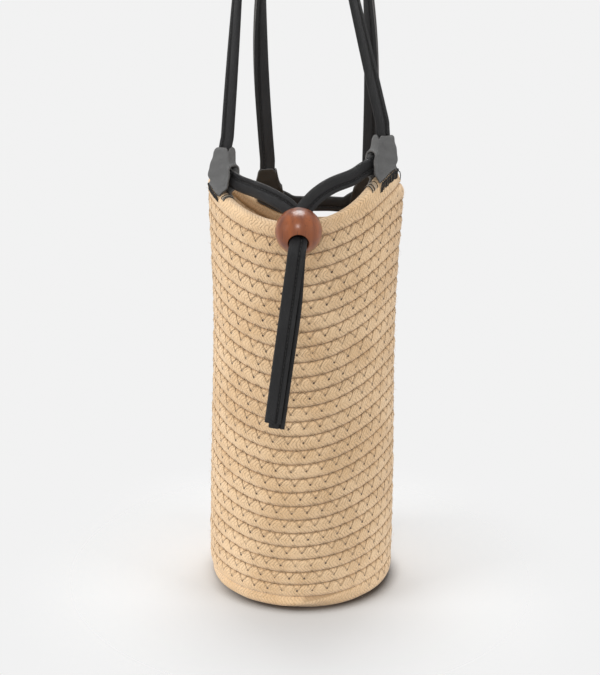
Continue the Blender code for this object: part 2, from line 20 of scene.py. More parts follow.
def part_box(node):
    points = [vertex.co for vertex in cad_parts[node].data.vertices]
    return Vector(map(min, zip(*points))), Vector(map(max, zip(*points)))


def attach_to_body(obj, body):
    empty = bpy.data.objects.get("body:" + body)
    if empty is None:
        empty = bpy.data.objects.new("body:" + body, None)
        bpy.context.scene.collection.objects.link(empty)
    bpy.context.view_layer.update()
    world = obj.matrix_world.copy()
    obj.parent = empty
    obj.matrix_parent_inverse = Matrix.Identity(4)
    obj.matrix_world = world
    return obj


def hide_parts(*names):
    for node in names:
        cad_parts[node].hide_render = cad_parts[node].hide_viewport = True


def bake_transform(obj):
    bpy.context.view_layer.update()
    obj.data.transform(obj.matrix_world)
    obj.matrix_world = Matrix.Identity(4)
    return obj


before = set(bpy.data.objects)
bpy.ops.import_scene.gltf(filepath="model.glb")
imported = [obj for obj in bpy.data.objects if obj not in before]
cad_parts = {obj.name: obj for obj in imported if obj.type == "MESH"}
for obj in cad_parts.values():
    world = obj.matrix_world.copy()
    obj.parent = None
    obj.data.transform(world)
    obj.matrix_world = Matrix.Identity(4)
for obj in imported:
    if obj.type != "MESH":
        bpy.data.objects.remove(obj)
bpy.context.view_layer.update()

log = logging.getLogger("rope_beach_bag")

MM = 0.001
Colour = tuple[float, float, float]
Values = np.ndarray | float


class Side(Enum):
    """A face of the rope wall."""

    OUTSIDE = 1.0
    INSIDE = -1.0


class Slot(Enum):
    """The material slots of the record."""

    ROPE = "cotton_rope"
    LEATHER = "black_leather"
    WOOD = "brown_wood"


class Body(Enum):
    """The moving bodies of the bag."""

    BAG = "bag"
    FRONT_HANDLE = "front_handle"
    BACK_HANDLE = "back_handle"
    DRAWSTRING = "drawstring"
    BEAD = "bead"


def smooth(value: Values) -> np.ndarray:
    """Return a soft step from 0 to 1."""
    value = np.clip(value, 0.0, 1.0)
    return value * value * (3.0 - 2.0 * value)


def wrap(angle: Values) -> np.ndarray:
    """Return an angle between -180 and 180."""
    return (np.asarray(angle, float) + 180.0) % 360.0 - 180.0


def bell(angle: Values, spread: float) -> np.ndarray:
    """Return a bell curve of an angle."""
    return np.exp(-((np.asarray(angle, float) / spread) ** 2))


def bulge(share: np.ndarray, power: float) -> np.ndarray:
    """Return how far a rounded section reaches at a share of its half height: a circle has power 2."""
    return (1.0 - np.abs(share) ** power) ** (1.0 / power)


def unit(vectors: np.ndarray) -> np.ndarray:
    """Return vectors at length 1."""
    return vectors / np.maximum(np.linalg.norm(vectors, axis=-1, keepdims=True), 1e-12)


def knot(place: Sequence[float], wide: Sequence[float]) -> np.ndarray:
    """Return a place on a strap's line and the direction of the strap's width there as one row."""
    return np.concatenate([place, wide])


def distances(places: np.ndarray) -> np.ndarray:
    """Return how far along a line each of its places is."""
    return np.concatenate([[0.0], np.cumsum(np.linalg.norm(np.diff(places, axis=0), axis=1))])


def at_distances(rows: np.ndarray, run: np.ndarray, wanted: np.ndarray) -> np.ndarray:
    """Return the rows at wanted distances, from rows whose distances are known."""
    return np.stack([np.interp(wanted, run, column) for column in rows.T], axis=1)


def curve_through(knots: np.ndarray, step: float, tries: int = 24) -> tuple[np.ndarray, np.ndarray]:
    """Draw a smooth curve through knots.

    Args:
        knots: rows of any width, whose first three numbers are a place.
        step: the wanted distance between points.
        tries: how many points are worked out between two knots.

    Returns:
        The points, evenly spaced, with all their columns, and their distances from the start.
    """
    line = np.vstack([2 * knots[0] - knots[1], knots, 2 * knots[-1] - knots[-2]])
    share = np.linspace(0.0, 1.0, tries, endpoint=False)[:, None]
    rows = []
    for before, start, end, after in zip(line, line[1:], line[2:], line[3:]):
        square = share**2 * (2 * before - 5 * start + 4 * end - after)
        cube = share**3 * (3 * start - before - 3 * end + after)
        rows.append((2 * start + share * (end - before) + square + cube) / 2)
    rows.append(knots[-1:])
    dense = np.vstack(rows)
    run = distances(dense[:, :3])
    reach = np.linspace(0.0, run[-1], max(int(round(run[-1] / step)), 2) + 1)
    return at_distances(dense, run, reach), reach


# Shader wiring


class Wire:
    """A shader value that takes part in Python expressions, each of which adds its Math node."""

    def __init__(self, look: "Look", socket: bpy.types.NodeSocket) -> None:
        """Keep the look that the value belongs to and its socket."""
        self.look = look
        self.socket = socket

    def math(self, operation: str, *others: "Wire | float") -> "Wire":
        """Return the result of a Math node on this value and others."""
        return self.look.add("ShaderNodeMath", {"operation": operation}, dict(enumerate((self, *others))))

    __add__ = __radd__ = partialmethod(math, "ADD")
    __sub__ = partialmethod(math, "SUBTRACT")
    __mul__ = __rmul__ = partialmethod(math, "MULTIPLY")
    __truediv__ = partialmethod(math, "DIVIDE")
    __pow__ = partialmethod(math, "POWER")
    __abs__ = partialmethod(math, "ABSOLUTE")

    def __rsub__(self, other: float) -> "Wire":
        """Subtract this value from a number."""
        return self.look.add("ShaderNodeMath", {"operation": "SUBTRACT"}, {0: other, 1: self})

    def step(self, none: float, full: float) -> "Wire":
        """Return a soft step.

        Args:
            none: where and beyond which it is 0. It may be the higher of the two.
            full: where and beyond which it is 1.

        Returns:
            The step, from 0 to 1.
        """
        inputs = {
            "Value": self,
            "From Min": min(none, full),
            "From Max": max(none, full),
            "To Min": float(none > full),
            "To Max": float(none < full),
        }
        return self.look.add("ShaderNodeMapRange", {"interpolation_type": "SMOOTHSTEP"}, inputs)

    def arches(self, power: float) -> "Wire":
        """Return an arch from 0 to 1 and back over each whole number, fuller as the power falls."""
        return (self.math("FRACT") * math.pi).math("SINE") ** power


class Look:
    """A material and what makes its nodes."""

    def __init__(self, name: str, roughness: float, **constants: float) -> None:
        """Start a material with one shader.

        Args:
            name: the material's name.
            roughness: the shader's roughness before anything feeds it.
            constants: other shader values, by name, with underscores for spaces.
        """
        self.material = bpy.data.materials.new(name)
        self.material.use_nodes = True
        self.tree = self.material.node_tree
        self.tree.nodes.clear()
        self.shader = self.tree.nodes.new("ShaderNodeBsdfPrincipled")
        self.surface = self.tree.nodes.new("ShaderNodeOutputMaterial").inputs["Surface"]
        self.tree.links.new(self.shader.outputs[0], self.surface)
        for key, value in {"Roughness": roughness, **constants}.items():
            self.shader.inputs[key.replace("_", " ")].default_value = value

    def feed(self, socket: bpy.types.NodeSocket, value: "Wire | float | Sequence[float]") -> None:
        """Set a socket, or link a value to it.

        Args:
            socket: a node's input.
            value: a number, a colour or another node's output.
        """
        if isinstance(value, Wire):
            self.tree.links.new(value.socket, socket)
        elif socket.type == "RGBA" and len(value) == 3:
            socket.default_value = (*value, 1.0)
        else:
            socket.default_value = value

    def add(
        self, kind: str, settings: dict | None = None, inputs: dict | None = None, output: int | str = 0
    ) -> Wire:
        """Add a node.

        Args:
            kind: the node's type.
            settings: its own settings, set first.
            inputs: values or links of its sockets, by name or number.
            output: the output to return.

        Returns:
            The output as a value.
        """
        node = self.tree.nodes.new(kind)
        for name, value in (settings or {}).items():
            setattr(node, name, value)
        for name, value in (inputs or {}).items():
            self.feed(node.inputs[name], value)
        return Wire(self, node.outputs[output])

    def mix(self, share: Wire | float, first: Wire | Colour, second: Wire | Colour, way: str = "MIX") -> Wire:
        """Return the mix of two colours."""
        settings = {"data_type": "RGBA", "blend_type": way}
        return self.add("ShaderNodeMix", settings, {0: share, 6: first, 7: second}, 2)

    def place(self) -> Wire:
        """Return the Object coordinates."""
        return self.add("ShaderNodeTexCoord", output="Object")

    def split(self, vector: Wire) -> tuple[Wire, Wire]:
        """Return the first two coordinates of a vector."""
        first = self.add("ShaderNodeSeparateXYZ", None, {0: vector})
        return first, Wire(self, first.socket.node.outputs[1])

    def along(self, map_name: str) -> tuple[Wire, Wire]:
        """Return the two coordinates of a UV map as values."""
        return self.split(self.add("ShaderNodeUVMap", {"uv_map": map_name}))

    def noise(self, spot: Wire, scale: float, detail: float, rough: float = 0.5) -> Wire:
        """Return a cloudy pattern from 0 to 1."""
        inputs = {"Scale": scale, "Detail": detail, "Roughness": rough, "Vector": spot}
        return self.add("ShaderNodeTexNoise", None, inputs)

    def bump(self, height: Wire, depth: float) -> None:
        """Press a height pattern of a given depth into the surface."""
        normal = self.add("ShaderNodeBump", None, {"Height": height, "Distance": depth, "Strength": 1.0})
        self.feed(self.shader.inputs["Normal"], normal)

    def colour(self, value: Wire | Colour) -> None:
        """Set the surface's colour."""
        self.feed(self.shader.inputs["Base Color"], value)

    def rough(self, value: Wire) -> None:
        """Vary the surface's roughness."""
        self.feed(self.shader.inputs["Roughness"], value)


# Finishes


@dataclass(frozen=True)
class CottonRope:
    """Natural cotton braid, with painted shade in its crevices and grooves, and the zigzag seam's needle
    holes and creases painted dark as shade.

    Lengths along the rope and its girth are in pitches, and places round it are shares of its girth.
    """

    pale: Colour = (0.82, 0.578, 0.345)
    warm: Colour = (0.705, 0.465, 0.250)
    shade: Colour = (0.29, 0.168, 0.080)
    fluff: Colour = (1.0, 0.84, 0.62)
    # The needle holes' colour, which is painted shade
    hole: Colour = (0.10, 0.052, 0.022)
    tiers: int = 8
    yarn: float = 0.215
    slant: float = 1.40
    stitch: float = 0.92
    girth: float = 3.3
    arm_slope: float = 0.676
    hole_at: float = 0.268
    peak_at: float = 0.171
    hole_edge: tuple[float, float] = (0.085, 0.035)
    crease_edge: tuple[float, float] = (0.080, 0.030)
    depth: float = 0.0005

    def braid(self, run: Wire, around: Wire, stray: Wire) -> Wire:
        """Weave slanted yarns that turn back at each tier and tuck under the next one.

        Args:
            run: the place along the rope.
            around: the place round it.
            stray: a cloudy pattern that makes the yarns uneven.

        Returns:
            The height, from 0 to 1.
        """
        tier = around * self.tiers
        swing = abs((tier / 2.0).math("FRACT") * 2.0 - 1.0) * self.slant
        drift = run / self.yarn + (stray - 0.5) * 1.5
        over, under = (drift + swing).arches(0.55), (drift - swing).arches(0.55)
        return over * (under * 0.30 + 0.70) * (tier.arches(0.35) * 0.30 + 0.70)

    def from_hole(self, stitches: Wire) -> Wire:
        """Return the distance along the rope from the nearest half number of stitches."""
        return abs(stitches.math("FRACT") - 0.5) * self.stitch

    def crease(self, along: Wire, across: Wire) -> Wire:
        """Return the crease under a stitch's two arms, which start at a point and part across the rope."""
        return abs(along - across * self.arm_slope).step(*self.crease_edge) * across.step(-0.03, 0.02)

    def dress(self) -> bpy.types.Material:
        """Colour the braid and press the seam into it.

        Returns:
            The braided rope's material.
        """
        look = Look("cotton_braid", 0.92, Sheen_Weight=0.30, Sheen_Roughness=0.5)
        run, around = look.along("rope")
        lower_run, _ = look.along("lower_row")
        painted_groove_shade, sewn = look.along("row_wear")
        spot = look.place()
        tone = look.noise(spot, scale=34.0, detail=4.0, rough=0.62)
        fibre = look.noise(spot, scale=1900.0, detail=3.0, rough=0.7)
        stray = look.noise(spot, scale=420.0, detail=2.0, rough=0.6)
        patch = look.noise(spot, scale=75.0, detail=2.0, rough=0.6).step(0.30, 0.62)
        braid = self.braid(run, around, stray)
        # The needle holes and the creases that the zigzag thread pulls into the rope, pressed into the bump
        # and painted dark as shade
        half_way = around.math("MINIMUM", 1.0 - around)
        offset = self.from_hole(run / self.stitch + 0.5)
        across = (half_way - self.hole_at) * self.girth
        hole = (offset * offset + across * across).math("SQRT").step(*self.hole_edge)
        hole = hole * stray.step(0.25, 0.6) * sewn
        lower = self.crease(self.from_hole(lower_run / self.stitch), (self.peak_at - half_way) * self.girth)
        crease = self.crease(offset, across).math("MAXIMUM", lower) * sewn * stray.step(0.15, 0.55)
        body = look.mix(tone.step(0.34, 0.66), self.warm, self.pale)
        for share, tint in (
            # painted shade in the braid's crevices
            (braid.step(0.78, 0.22) * (patch * 0.36 + 0.18), self.shade),
            (fibre.step(0.42, 0.72) * 0.30, self.fluff),
            (fibre.step(0.48, 0.30) * 0.22, self.shade),
            # painted shade in the grooves between rows
            (painted_groove_shade * 0.58, self.shade),
            # painted shade in the seam's creases
            (crease * 0.20, self.shade),
            # the needle holes, painted dark as shade
            (hole, self.hole),
        ):
            body = look.mix(share, body, tint)
        look.colour(body)
        look.bump(braid * 0.6 + fibre * 0.30 - hole * 2.0 - crease * 0.5 + 1.0, self.depth)
        return look.material


@dataclass(frozen=True)
class CottonThread:
    """Thin twisted thread."""

    name: str
    colour: Colour
    dark: Colour
    scale: float = 2600.0
    depth: float = 0.0001

    def dress(self) -> bpy.types.Material:
        """Twist and colour the thread.

        Returns:
            The thread's material.
        """
        look = Look(self.name, 0.75, Sheen_Weight=0.15)
        spot = look.place()
        inputs = {"Vector": spot, "Scale": self.scale}
        twist = look.add("ShaderNodeTexWave", {"bands_direction": "DIAGONAL"}, inputs)
        cloud = look.noise(spot, scale=90.0, detail=2.0)
        look.colour(look.mix(twist.step(0.2, 0.8) * 0.6 + cloud * 0.3, self.dark, self.colour))
        look.bump(twist, self.depth)
        return look.material


@dataclass(frozen=True)
class Leather:
    """Soft satin leather with a fine pebble grain, worn lighter in places and pressed in along its seams."""

    name: str
    colour: Colour
    worn: Colour
    roughness: float = 0.42
    grain: float = 1500.0
    depth: float = 0.00012
    seams: tuple[float, ...] = ()
    stitch: float = 0.22
    # The seams' colour: dark dashes like their black stitches, with painted shade in the pressed-in valley
    # between them
    press: Colour = (0.002, 0.002, 0.002)

    def dress(self) -> bpy.types.Material:
        """Grain the leather, wear it and press its seams in.

        Returns:
            The leather's material.
        """
        look = Look(self.name, self.roughness, Specular_IOR_Level=0.5)
        spot = look.place()
        bend = look.noise(spot, scale=260.0, detail=3.0, rough=0.6)
        swirl = look.add("ShaderNodeTexNoise", None, {"Vector": spot, "Scale": 400.0}, 1)
        cells = {"Vector": look.mix(0.012, spot, swirl, "ADD"), "Scale": self.grain, "Randomness": 0.9}
        pebble = look.add("ShaderNodeTexVoronoi", {"feature": "DISTANCE_TO_EDGE"}, cells).step(0.0, 0.28)
        broad = look.noise(spot, scale=42.0, detail=3.0, rough=0.55)
        body = look.mix(broad.step(0.48, 0.78) * 0.5 + bend.step(0.5, 0.8) * 0.25, self.colour, self.worn)
        height = pebble * 0.7 + bend * 0.9
        if self.seams:
            run, around = look.along("strap")
            near, other = (abs(around - seam) for seam in self.seams)
            # The seam is painted dark in dashes like its black stitches, with painted shade in the pressed-in
            # valley between them
            dash = (run / self.stitch).math("FRACT").step(0.20, 0.36) * 0.55 + 0.45
            press = near.math("MINIMUM", other).step(0.040, 0.018) * dash
            body = look.mix(press * 0.92, body, self.press)
            height = height - press * 3.5
        look.colour(body)
        look.rough(broad * 0.16 + (self.roughness - 0.08) - pebble * 0.05)
        look.bump(height, self.depth)
        return look.material


@dataclass(frozen=True)
class CutLeather:
    """The raw edge of the leather, fibrous and a little paler."""

    colour: Colour = (0.085, 0.082, 0.080)
    fibre: Colour = (0.17, 0.165, 0.16)
    depth: float = 0.00015

    def dress(self) -> bpy.types.Material:
        """Roughen the cut edge.

        Returns:
            The raw edge's material.
        """
        look = Look("cut_leather", 0.85)
        fibres = look.noise(look.place(), scale=2200.0, detail=4.0, rough=0.7)
        look.colour(look.mix(fibres.step(0.4, 0.7), self.colour, self.fibre))
        look.bump(fibres, self.depth)
        return look.material


@dataclass(frozen=True)
class VarnishedWood:
    """Red-brown turned wood with fine grain under a clear varnish."""

    shift: tuple[float, float, float]
    turn: tuple[float, float, float] = (0.3, 0.5, 0.2)
    light: Colour = (0.300, 0.080, 0.019)
    middle: Colour = (0.145, 0.034, 0.009)
    dark: Colour = (0.062, 0.015, 0.006)
    stretch: tuple[float, float, float] = (1.0, 1.0, 0.16)
    depth: float = 0.00006

    def dress(self) -> bpy.types.Material:
        """Grain and varnish the wood.

        Returns:
            The bead's material.
        """
        look = Look("bead_wood", 0.34, Coat_Weight=0.8, Coat_Roughness=0.24)
        shift = {"Vector": look.place(), "Location": self.shift}
        centred = look.add("ShaderNodeMapping", {"vector_type": "POINT"}, shift)
        turn = {"Vector": centred, "Rotation": self.turn, "Scale": self.stretch}
        turned = look.add("ShaderNodeMapping", None, turn)
        cloud = look.noise(turned, scale=95.0, detail=4.0, rough=0.6)
        ring = {"Vector": turned, "Scale": 62.0, "Distortion": 5.0, "Detail": 3.0, "Detail Scale": 1.4}
        rings = look.add("ShaderNodeTexWave", {"wave_type": "BANDS", "bands_direction": "X"}, ring)
        pores = look.noise(turned, scale=900.0, detail=3.0, rough=0.75)
        body = look.mix(rings * 0.35 + cloud.step(0.30, 0.62) * 0.65, self.light, self.middle)
        body = look.mix(cloud.step(0.50, 0.75) * 0.55, body, self.dark)
        look.colour(look.mix(pores.step(0.54, 0.70) * 0.6, body, self.dark))
        look.rough(pores * 0.16 + 0.24)
        look.bump(pores * 0.5 + rings * 0.3, self.depth)
        return look.material


# Building meshes


def deselect() -> None:
    """Leave nothing selected."""
    if bpy.context.object and bpy.context.object.mode != "OBJECT":
        bpy.ops.object.mode_set(mode="OBJECT")
    bpy.ops.object.select_all(action="DESELECT")


@contextmanager
def editing(piece: bpy.types.Object) -> Iterator[None]:
    """Hold a piece in edit mode, and leave it active.

    Args:
        piece: the piece.
    """
    deselect()
    piece.select_set(True)
    bpy.context.view_layer.objects.active = piece
    bpy.ops.object.mode_set(mode="EDIT")
    yield
    bpy.ops.object.mode_set(mode="OBJECT")


def add_object(name: str, data: bpy.types.ID) -> bpy.types.Object:
    """Put a mesh, a lamp or a camera into the scene.

    Args:
        name: the new object's name.
        data: what it shows.

    Returns:
        The object.
    """
    thing = bpy.data.objects.new(name, data)
    bpy.context.scene.collection.objects.link(thing)
    return thing


def make_mesh(
    name: str,
    points: np.ndarray,
    faces: Sequence[Sequence[int]] | np.ndarray,
    materials: Sequence[bpy.types.Material],
    maps: dict[str, np.ndarray] | None = None,
    raw: np.ndarray | None = None,
    flat: int = 0,
) -> bpy.types.Object:
    """Make a smooth object from points in the shared frame.

    Args:
        name: the piece's name.
        points: its vertices.
        faces: its faces, as indices of points.
        materials: its materials.
        maps: UV maps by name, one row for each face corner.
        raw: whether each face shows the second material, if any do.
        flat: how many faces at the end of the list are flat.

    Returns:
        The new object.
    """
    mesh = bpy.data.meshes.new(name)
    mesh.from_pydata(points.tolist(), [], faces.tolist() if isinstance(faces, np.ndarray) else faces)
    for map_name, places in (maps or {}).items():
        mesh.uv_layers.new(name=map_name).data.foreach_set("uv", places.astype(np.float32).ravel())
    mesh.polygons.foreach_set("use_smooth", np.arange(len(faces)) < len(faces) - flat)
    for material in materials:
        mesh.materials.append(material)
    if raw is not None:
        mesh.polygons.foreach_set("material_index", raw.astype(np.int32))
    return add_object(name, mesh)


def grid_faces(rows: int, columns: int, closed: bool = True) -> np.ndarray:
    """Return the four-sided faces of a grid of points.

    Args:
        rows: how many rows of points there are.
        columns: how many points a row has.
        closed: whether a row's last point joins its first.

    Returns:
        One face a line, row by row.
    """
    faces_wide = columns if closed else columns - 1
    row, column = np.meshgrid(np.arange(rows - 1), np.arange(faces_wide), indexing="ij")
    beside = (column + 1) % columns
    near, far = row * columns, (row + 1) * columns
    return np.stack([near + column, far + column, far + beside, near + beside], axis=-1).reshape(-1, 4)


def tube(line: np.ndarray, out: np.ndarray, radius: float, sides: int) -> tuple[np.ndarray, np.ndarray]:
    """Wrap a thin tube round a line.

    Args:
        line: the middle points.
        out: a direction away from the surface that the tube lies on, for all points or each.
        radius: the tube's radius.
        sides: how many sides it has.

    Returns:
        The points and the faces.
    """
    along = unit(np.gradient(line, axis=0))
    beside = unit(np.cross(along, out))
    over = np.cross(beside, along)
    turn = np.arange(sides) * 2 * math.pi / sides
    rings = beside[:, None] * np.cos(turn)[None, :, None] + over[:, None] * np.sin(turn)[None, :, None]
    return (line[:, None] + radius * rings).reshape(-1, 3), grid_faces(len(line), sides)[:, ::-1]


def joined(parts: Sequence[tuple[np.ndarray, np.ndarray]]) -> tuple[np.ndarray, np.ndarray]:
    """Join several sets of points and faces.

    Args:
        parts: the points and faces of each.

    Returns:
        All points and all faces.
    """
    points, faces, count = [], [], 0
    for some_points, some_faces in parts:
        points.append(some_points)
        faces.append(some_faces + count)
        count += len(some_points)
    return np.vstack(points), np.vstack(faces)


def attach(piece: bpy.types.Object, body: Body, slot: Slot, *nodes: str) -> None:
    """Let a piece ride on a body.

    Args:
        piece: the piece.
        body: the body.
        slot: its material slot; not used.
        nodes: the CAD nodes that it stands for, if any.
    """
    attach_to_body(piece, body.value)
    if nodes:
        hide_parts(*nodes)
    report(piece)


def report(piece: bpy.types.Object) -> None:
    """Log a finished piece."""
    log.info("%s: %d faces", piece.name, len(piece.data.polygons))


# The bag's form


@dataclass(frozen=True)
class BagForm:
    """The shape that the coiled rope follows, as in the bag's CAD model.

    A climb is a height up the wall before the rows dip and rise. What ends in share is a share of the whole
    climb or of the radius at the base.

    Attributes:
        waist_shares: the climbs between which the radius falls to the waist's.
        taper_share: the height that the rope keeps at its end, after it grows thin over taper_angle.
        saddle_rise: how far the rows rise at the sides and dip at the front and back.
        back_drop: how far the rows drop where the back folds in.
        back_pull: how much of its depth the back loses there.
        swell_rise: how far the upper rows rise at the front right.
        roll_rise: how far the rim's row rises at the front right tab.
    """

    pitch: float = 0.010
    rope_width: float = 0.0095
    base_height: float = 0.0094
    base_radius: float = 0.0640
    waist_share: float = 0.953
    rim_share: float = 0.9953
    waist_shares: tuple[float, float] = (0.082, 0.677)
    rows: int = 26
    front_angle: float = -90.0
    end_angle: float = -14.0
    taper_angle: float = 16.0
    taper_share: float = 0.35
    saddle_rise: float = 0.0121
    saddle_share: float = 0.3434
    saddle_turn: float = 0.1466
    back_drop: float = 0.0067
    back_pull: float = 0.478
    fold_share: float = 0.4083
    swell_rise: float = 0.0043
    swell_share: float = 0.4380
    swell_angle: float = -27.5
    swell_spread: float = 22.0
    roll_rise: float = 0.0060
    roll_angle: float = 322.0
    roll_spread: float = 20.0

    @property
    def top(self) -> float:
        """Return the climb of the wall's top over the front."""
        return self.base_height + self.rows * self.pitch

    @property
    def half_rope(self) -> float:
        """Return half the rope's width."""
        return self.rope_width / 2

    def taper(self, left: Values, thinnest: float) -> np.ndarray:
        """Return what share of its size the rope has, by the angle left to its end and the share there."""
        return thinnest + (1.0 - thinnest) * smooth(left / self.taper_angle)

    def rim_climb(self, angle: Values) -> np.ndarray:
        """Find the rim.

        Args:
            angle: the angle round the bag, from -14 to 346.

        Returns:
            How far up the wall the rim is there.
        """
        angle = np.asarray(angle, float)
        climb = self.base_height + self.pitch * (self.rows - 1 + (angle - self.front_angle) / 360.0)
        return climb - self.pitch * (1.0 - self.taper(self.end_angle + 360.0 - angle, self.taper_share))

    def outer(self, angle: Values, climb: Values) -> np.ndarray:
        """Return places on the outside of the wall.

        Args:
            angle: the angle round the bag.
            climb: the way up the wall from the floor.

        Returns:
            One place a line.
        """
        angle, climb = np.broadcast_arrays(np.asarray(angle, float), np.asarray(climb, float))
        once = (angle - self.end_angle) % 360.0 + self.end_angle
        turn = np.radians(angle)
        low, high = self.waist_shares
        share = climb / self.top
        radius = self.base_radius * (
            1.0
            + (self.waist_share - 1.0) * smooth((share - low) / (high - low))
            + (self.rim_share - self.waist_share) * smooth((share - high) / (1.0 - high))
        )
        fold_height = self.fold_share * self.top
        fold = smooth((climb - self.top + fold_height) / fold_height)
        back = np.maximum(np.sin(turn), 0.0)
        saddle = 1.0 - np.exp(-climb / (self.saddle_share * self.top))
        swell = np.exp(-(self.top - climb) / (self.swell_share * self.top))
        roll = smooth((climb - self.rim_climb(once) + self.pitch) / self.pitch)
        height = climb + self.saddle_rise * saddle * np.cos(2 * (turn + self.saddle_turn))
        height = height - self.back_drop * fold * back**2
        height = height + self.swell_rise * swell * bell(wrap(angle - self.swell_angle), self.swell_spread)
        height = height + self.roll_rise * roll * bell(once - self.roll_angle, self.roll_spread)
        depth = radius * np.sin(turn) * (1.0 - self.back_pull * fold * back)
        return np.stack([radius * np.cos(turn), depth, height], axis=-1)

    def outward(self, angle: Values, climb: Values) -> np.ndarray:
        """Find which way the wall faces.

        Args:
            angle: the angle round the bag.
            climb: the way up the wall from the floor.

        Returns:
            The level directions out of the wall.
        """
        angle = np.asarray(angle, float)
        along = self.outer(angle + 0.5, climb) - self.outer(angle - 0.5, climb)
        return unit(np.stack([along[..., 1], -along[..., 0], np.zeros_like(along[..., 0])], axis=-1))

    def rim(self, angle: Values, out: Values, up: Values) -> np.ndarray:
        """Return places at the rim.

        Args:
            angle: the angle round the bag, from -14 to 346.
            out: the distance out from the middle of the rim's rope.
            up: the height over its crest.

        Returns:
            One place a line.
        """
        angle, out, up = np.broadcast_arrays(*(np.asarray(value, float) for value in (angle, out, up)))
        climb = self.rim_climb(angle) + np.minimum(up, 0.0)
        place = self.outer(angle, climb) + (out - self.half_rope)[..., None] * self.outward(angle, climb)
        place[..., 2] += np.maximum(up, 0.0)
        return place


@dataclass(frozen=True)
class CoiledRope:
    """The one rope that is wound into the base and the wall, and the thread that joins its rows.

    A winding angle counts on from turn to turn: it is the angle round the bag in the wall's first row.

    Attributes:
        overlap: how much higher than its pitch a row is, so that rows press on each other.
        pressed: how square the rope is between two rows. A round rope would be 2.
        free: how square it is on the rim's free side.
        free_height: the share of its half height that it loses there.
        wall_from: the winding angle where the wall's piece starts.
        start_rise: how far the wall's first row is lifted off the base, until start_fade degrees on.
        tip_angle: the angle at the front over which the rope tips from lying flat to standing in the wall.
        ripples: waves in its thickness, each as radians a metre and a start. The sways are its middle's.
        foot_turn: how far back from the front the row at the base's edge starts, in degrees.
        stitch_low: the height where a zigzag stitch starts, from the groove between two rows.
    """

    form: BagForm
    steps: int = 96
    ring_points: int = 32
    overlap: float = 1.07
    pressed: float = 3.5
    free: float = 2.15
    free_height: float = 0.055
    base_rise: float = 0.0047
    centre_radius: float = 0.0034
    wall_from: float = 90.0
    start_rise: float = 0.0009
    start_fade: float = 100.0
    tip_angle: float = 80.0
    join_angle: float = 20.0
    ripple: float = 0.014
    ripples: tuple[tuple[float, float], ...] = ((283.0, 0.0), (167.0, 1.3), (91.0, 4.1))
    sway: float = 0.00007
    sways: tuple[tuple[float, float], ...] = ((61.0, 0.6), (203.0, 2.2))
    thinnest: float = 0.62
    cap: float = 0.0026
    cap_shoulder: float = 0.0022
    cap_share: float = 0.45
    groove_shares: tuple[float, float] = (0.128, 0.372)
    groove_fade: float = 0.028
    foot_turn: float = 400.0
    stitch: float = 0.0092
    stitch_low: float = -0.0044
    stitch_height: float = 0.0068
    thread_radius: float = 0.00025

    @property
    def last(self) -> float:
        """Return the winding angle of the rope's end."""
        return self.form.end_angle + 360.0 * self.form.rows

    @property
    def first(self) -> float:
        """Return the winding angle of the rope's start in the middle of the base."""
        reach = self.form.base_radius - self.form.half_rope - self.centre_radius
        return self.form.front_angle - 360.0 * reach / self.form.pitch

    def frames(self, wind: np.ndarray) -> tuple[np.ndarray, np.ndarray, np.ndarray]:
        """Lay the rope.

        Args:
            wind: winding angles.

        Returns:
            The rope's middle, its half height and its half thickness at each, as places and directions.
        """
        form = self.form
        wind = np.asarray(wind, float)
        turn = np.radians(wind)
        past_front = wind - form.front_angle
        radial = np.stack([np.cos(turn), np.sin(turn), np.zeros_like(turn)], axis=-1)
        reach = form.base_radius - form.half_rope
        radius = reach - form.pitch * np.maximum(-past_front, 0.0) / 360.0
        flat = radius[:, None] * radial + np.array([0.0, 0.0, self.base_rise])
        high = form.base_height + form.pitch * past_front / 360.0
        low = high - form.pitch
        left = self.last - wind
        high = high - form.pitch * (1.0 - form.taper(left, form.taper_share))
        shown = np.minimum(wind, self.last - 1e-6)
        upper, lower = form.outer(shown, high), form.outer(shown, low)
        away = form.outward(shown, (high + low) / 2)
        middle = (upper + lower) / 2 - form.half_rope * away
        middle[:, 2] += self.start_rise * np.exp(-np.maximum(past_front, 0.0) / self.start_fade)
        tip = smooth((past_front + self.tip_angle / 2) / self.tip_angle)[:, None] * math.pi / 2
        up = np.cos(tip) * radial * form.pitch / 2 + np.sin(tip) * (upper - lower) / 2
        sag = np.array([0.0, 0.0, -self.base_rise])
        thick = (form.half_rope * form.taper(left, self.thinnest))[:, None]
        out = np.cos(tip) * sag + np.sin(tip) * away * thick
        centre = flat + (middle - flat) * smooth(past_front / self.join_angle + 1.0)[:, None]
        # The hand-wound rope is never quite even
        length = turn * reach
        ripple = sum(np.sin(length * pace + start) for pace, start in self.ripples)
        sway = sum(np.sin(length * pace + start) for pace, start in self.sways)
        out = out * (1.0 + self.ripple * ripple)[:, None]
        centre = centre + (self.sway * sway)[:, None] * unit(out)
        return centre, up, out

    def ring(self, top_power: float) -> tuple[np.ndarray, np.ndarray]:
        """Draw the rope's cross-section.

        Args:
            top_power: how square its upper half is.

        Returns:
            Its places across and up, evenly spaced, starting in the groove below.
        """
        turn = np.linspace(-math.pi / 2, 3 * math.pi / 2, 4001)
        across, up = np.cos(turn), np.sin(turn)
        power = np.where(up > 0, top_power, self.pressed)
        reach = (np.abs(across) ** power + np.abs(up) ** power) ** (-1.0 / power)
        across, up = across * reach, up * reach
        half_height = self.overlap * self.form.pitch / 2
        run = distances(np.stack([across * self.form.half_rope, up * half_height], axis=1))
        wanted = np.arange(self.ring_points) * run[-1] / self.ring_points
        return np.interp(wanted, run, across), np.interp(wanted, run, up)

    def columns(self, start: float, end: float) -> np.ndarray:
        """Return the winding angles of the rope's rings between two angles."""
        return np.linspace(start, end, int(round((end - start) / 360.0 * self.steps)) + 1)

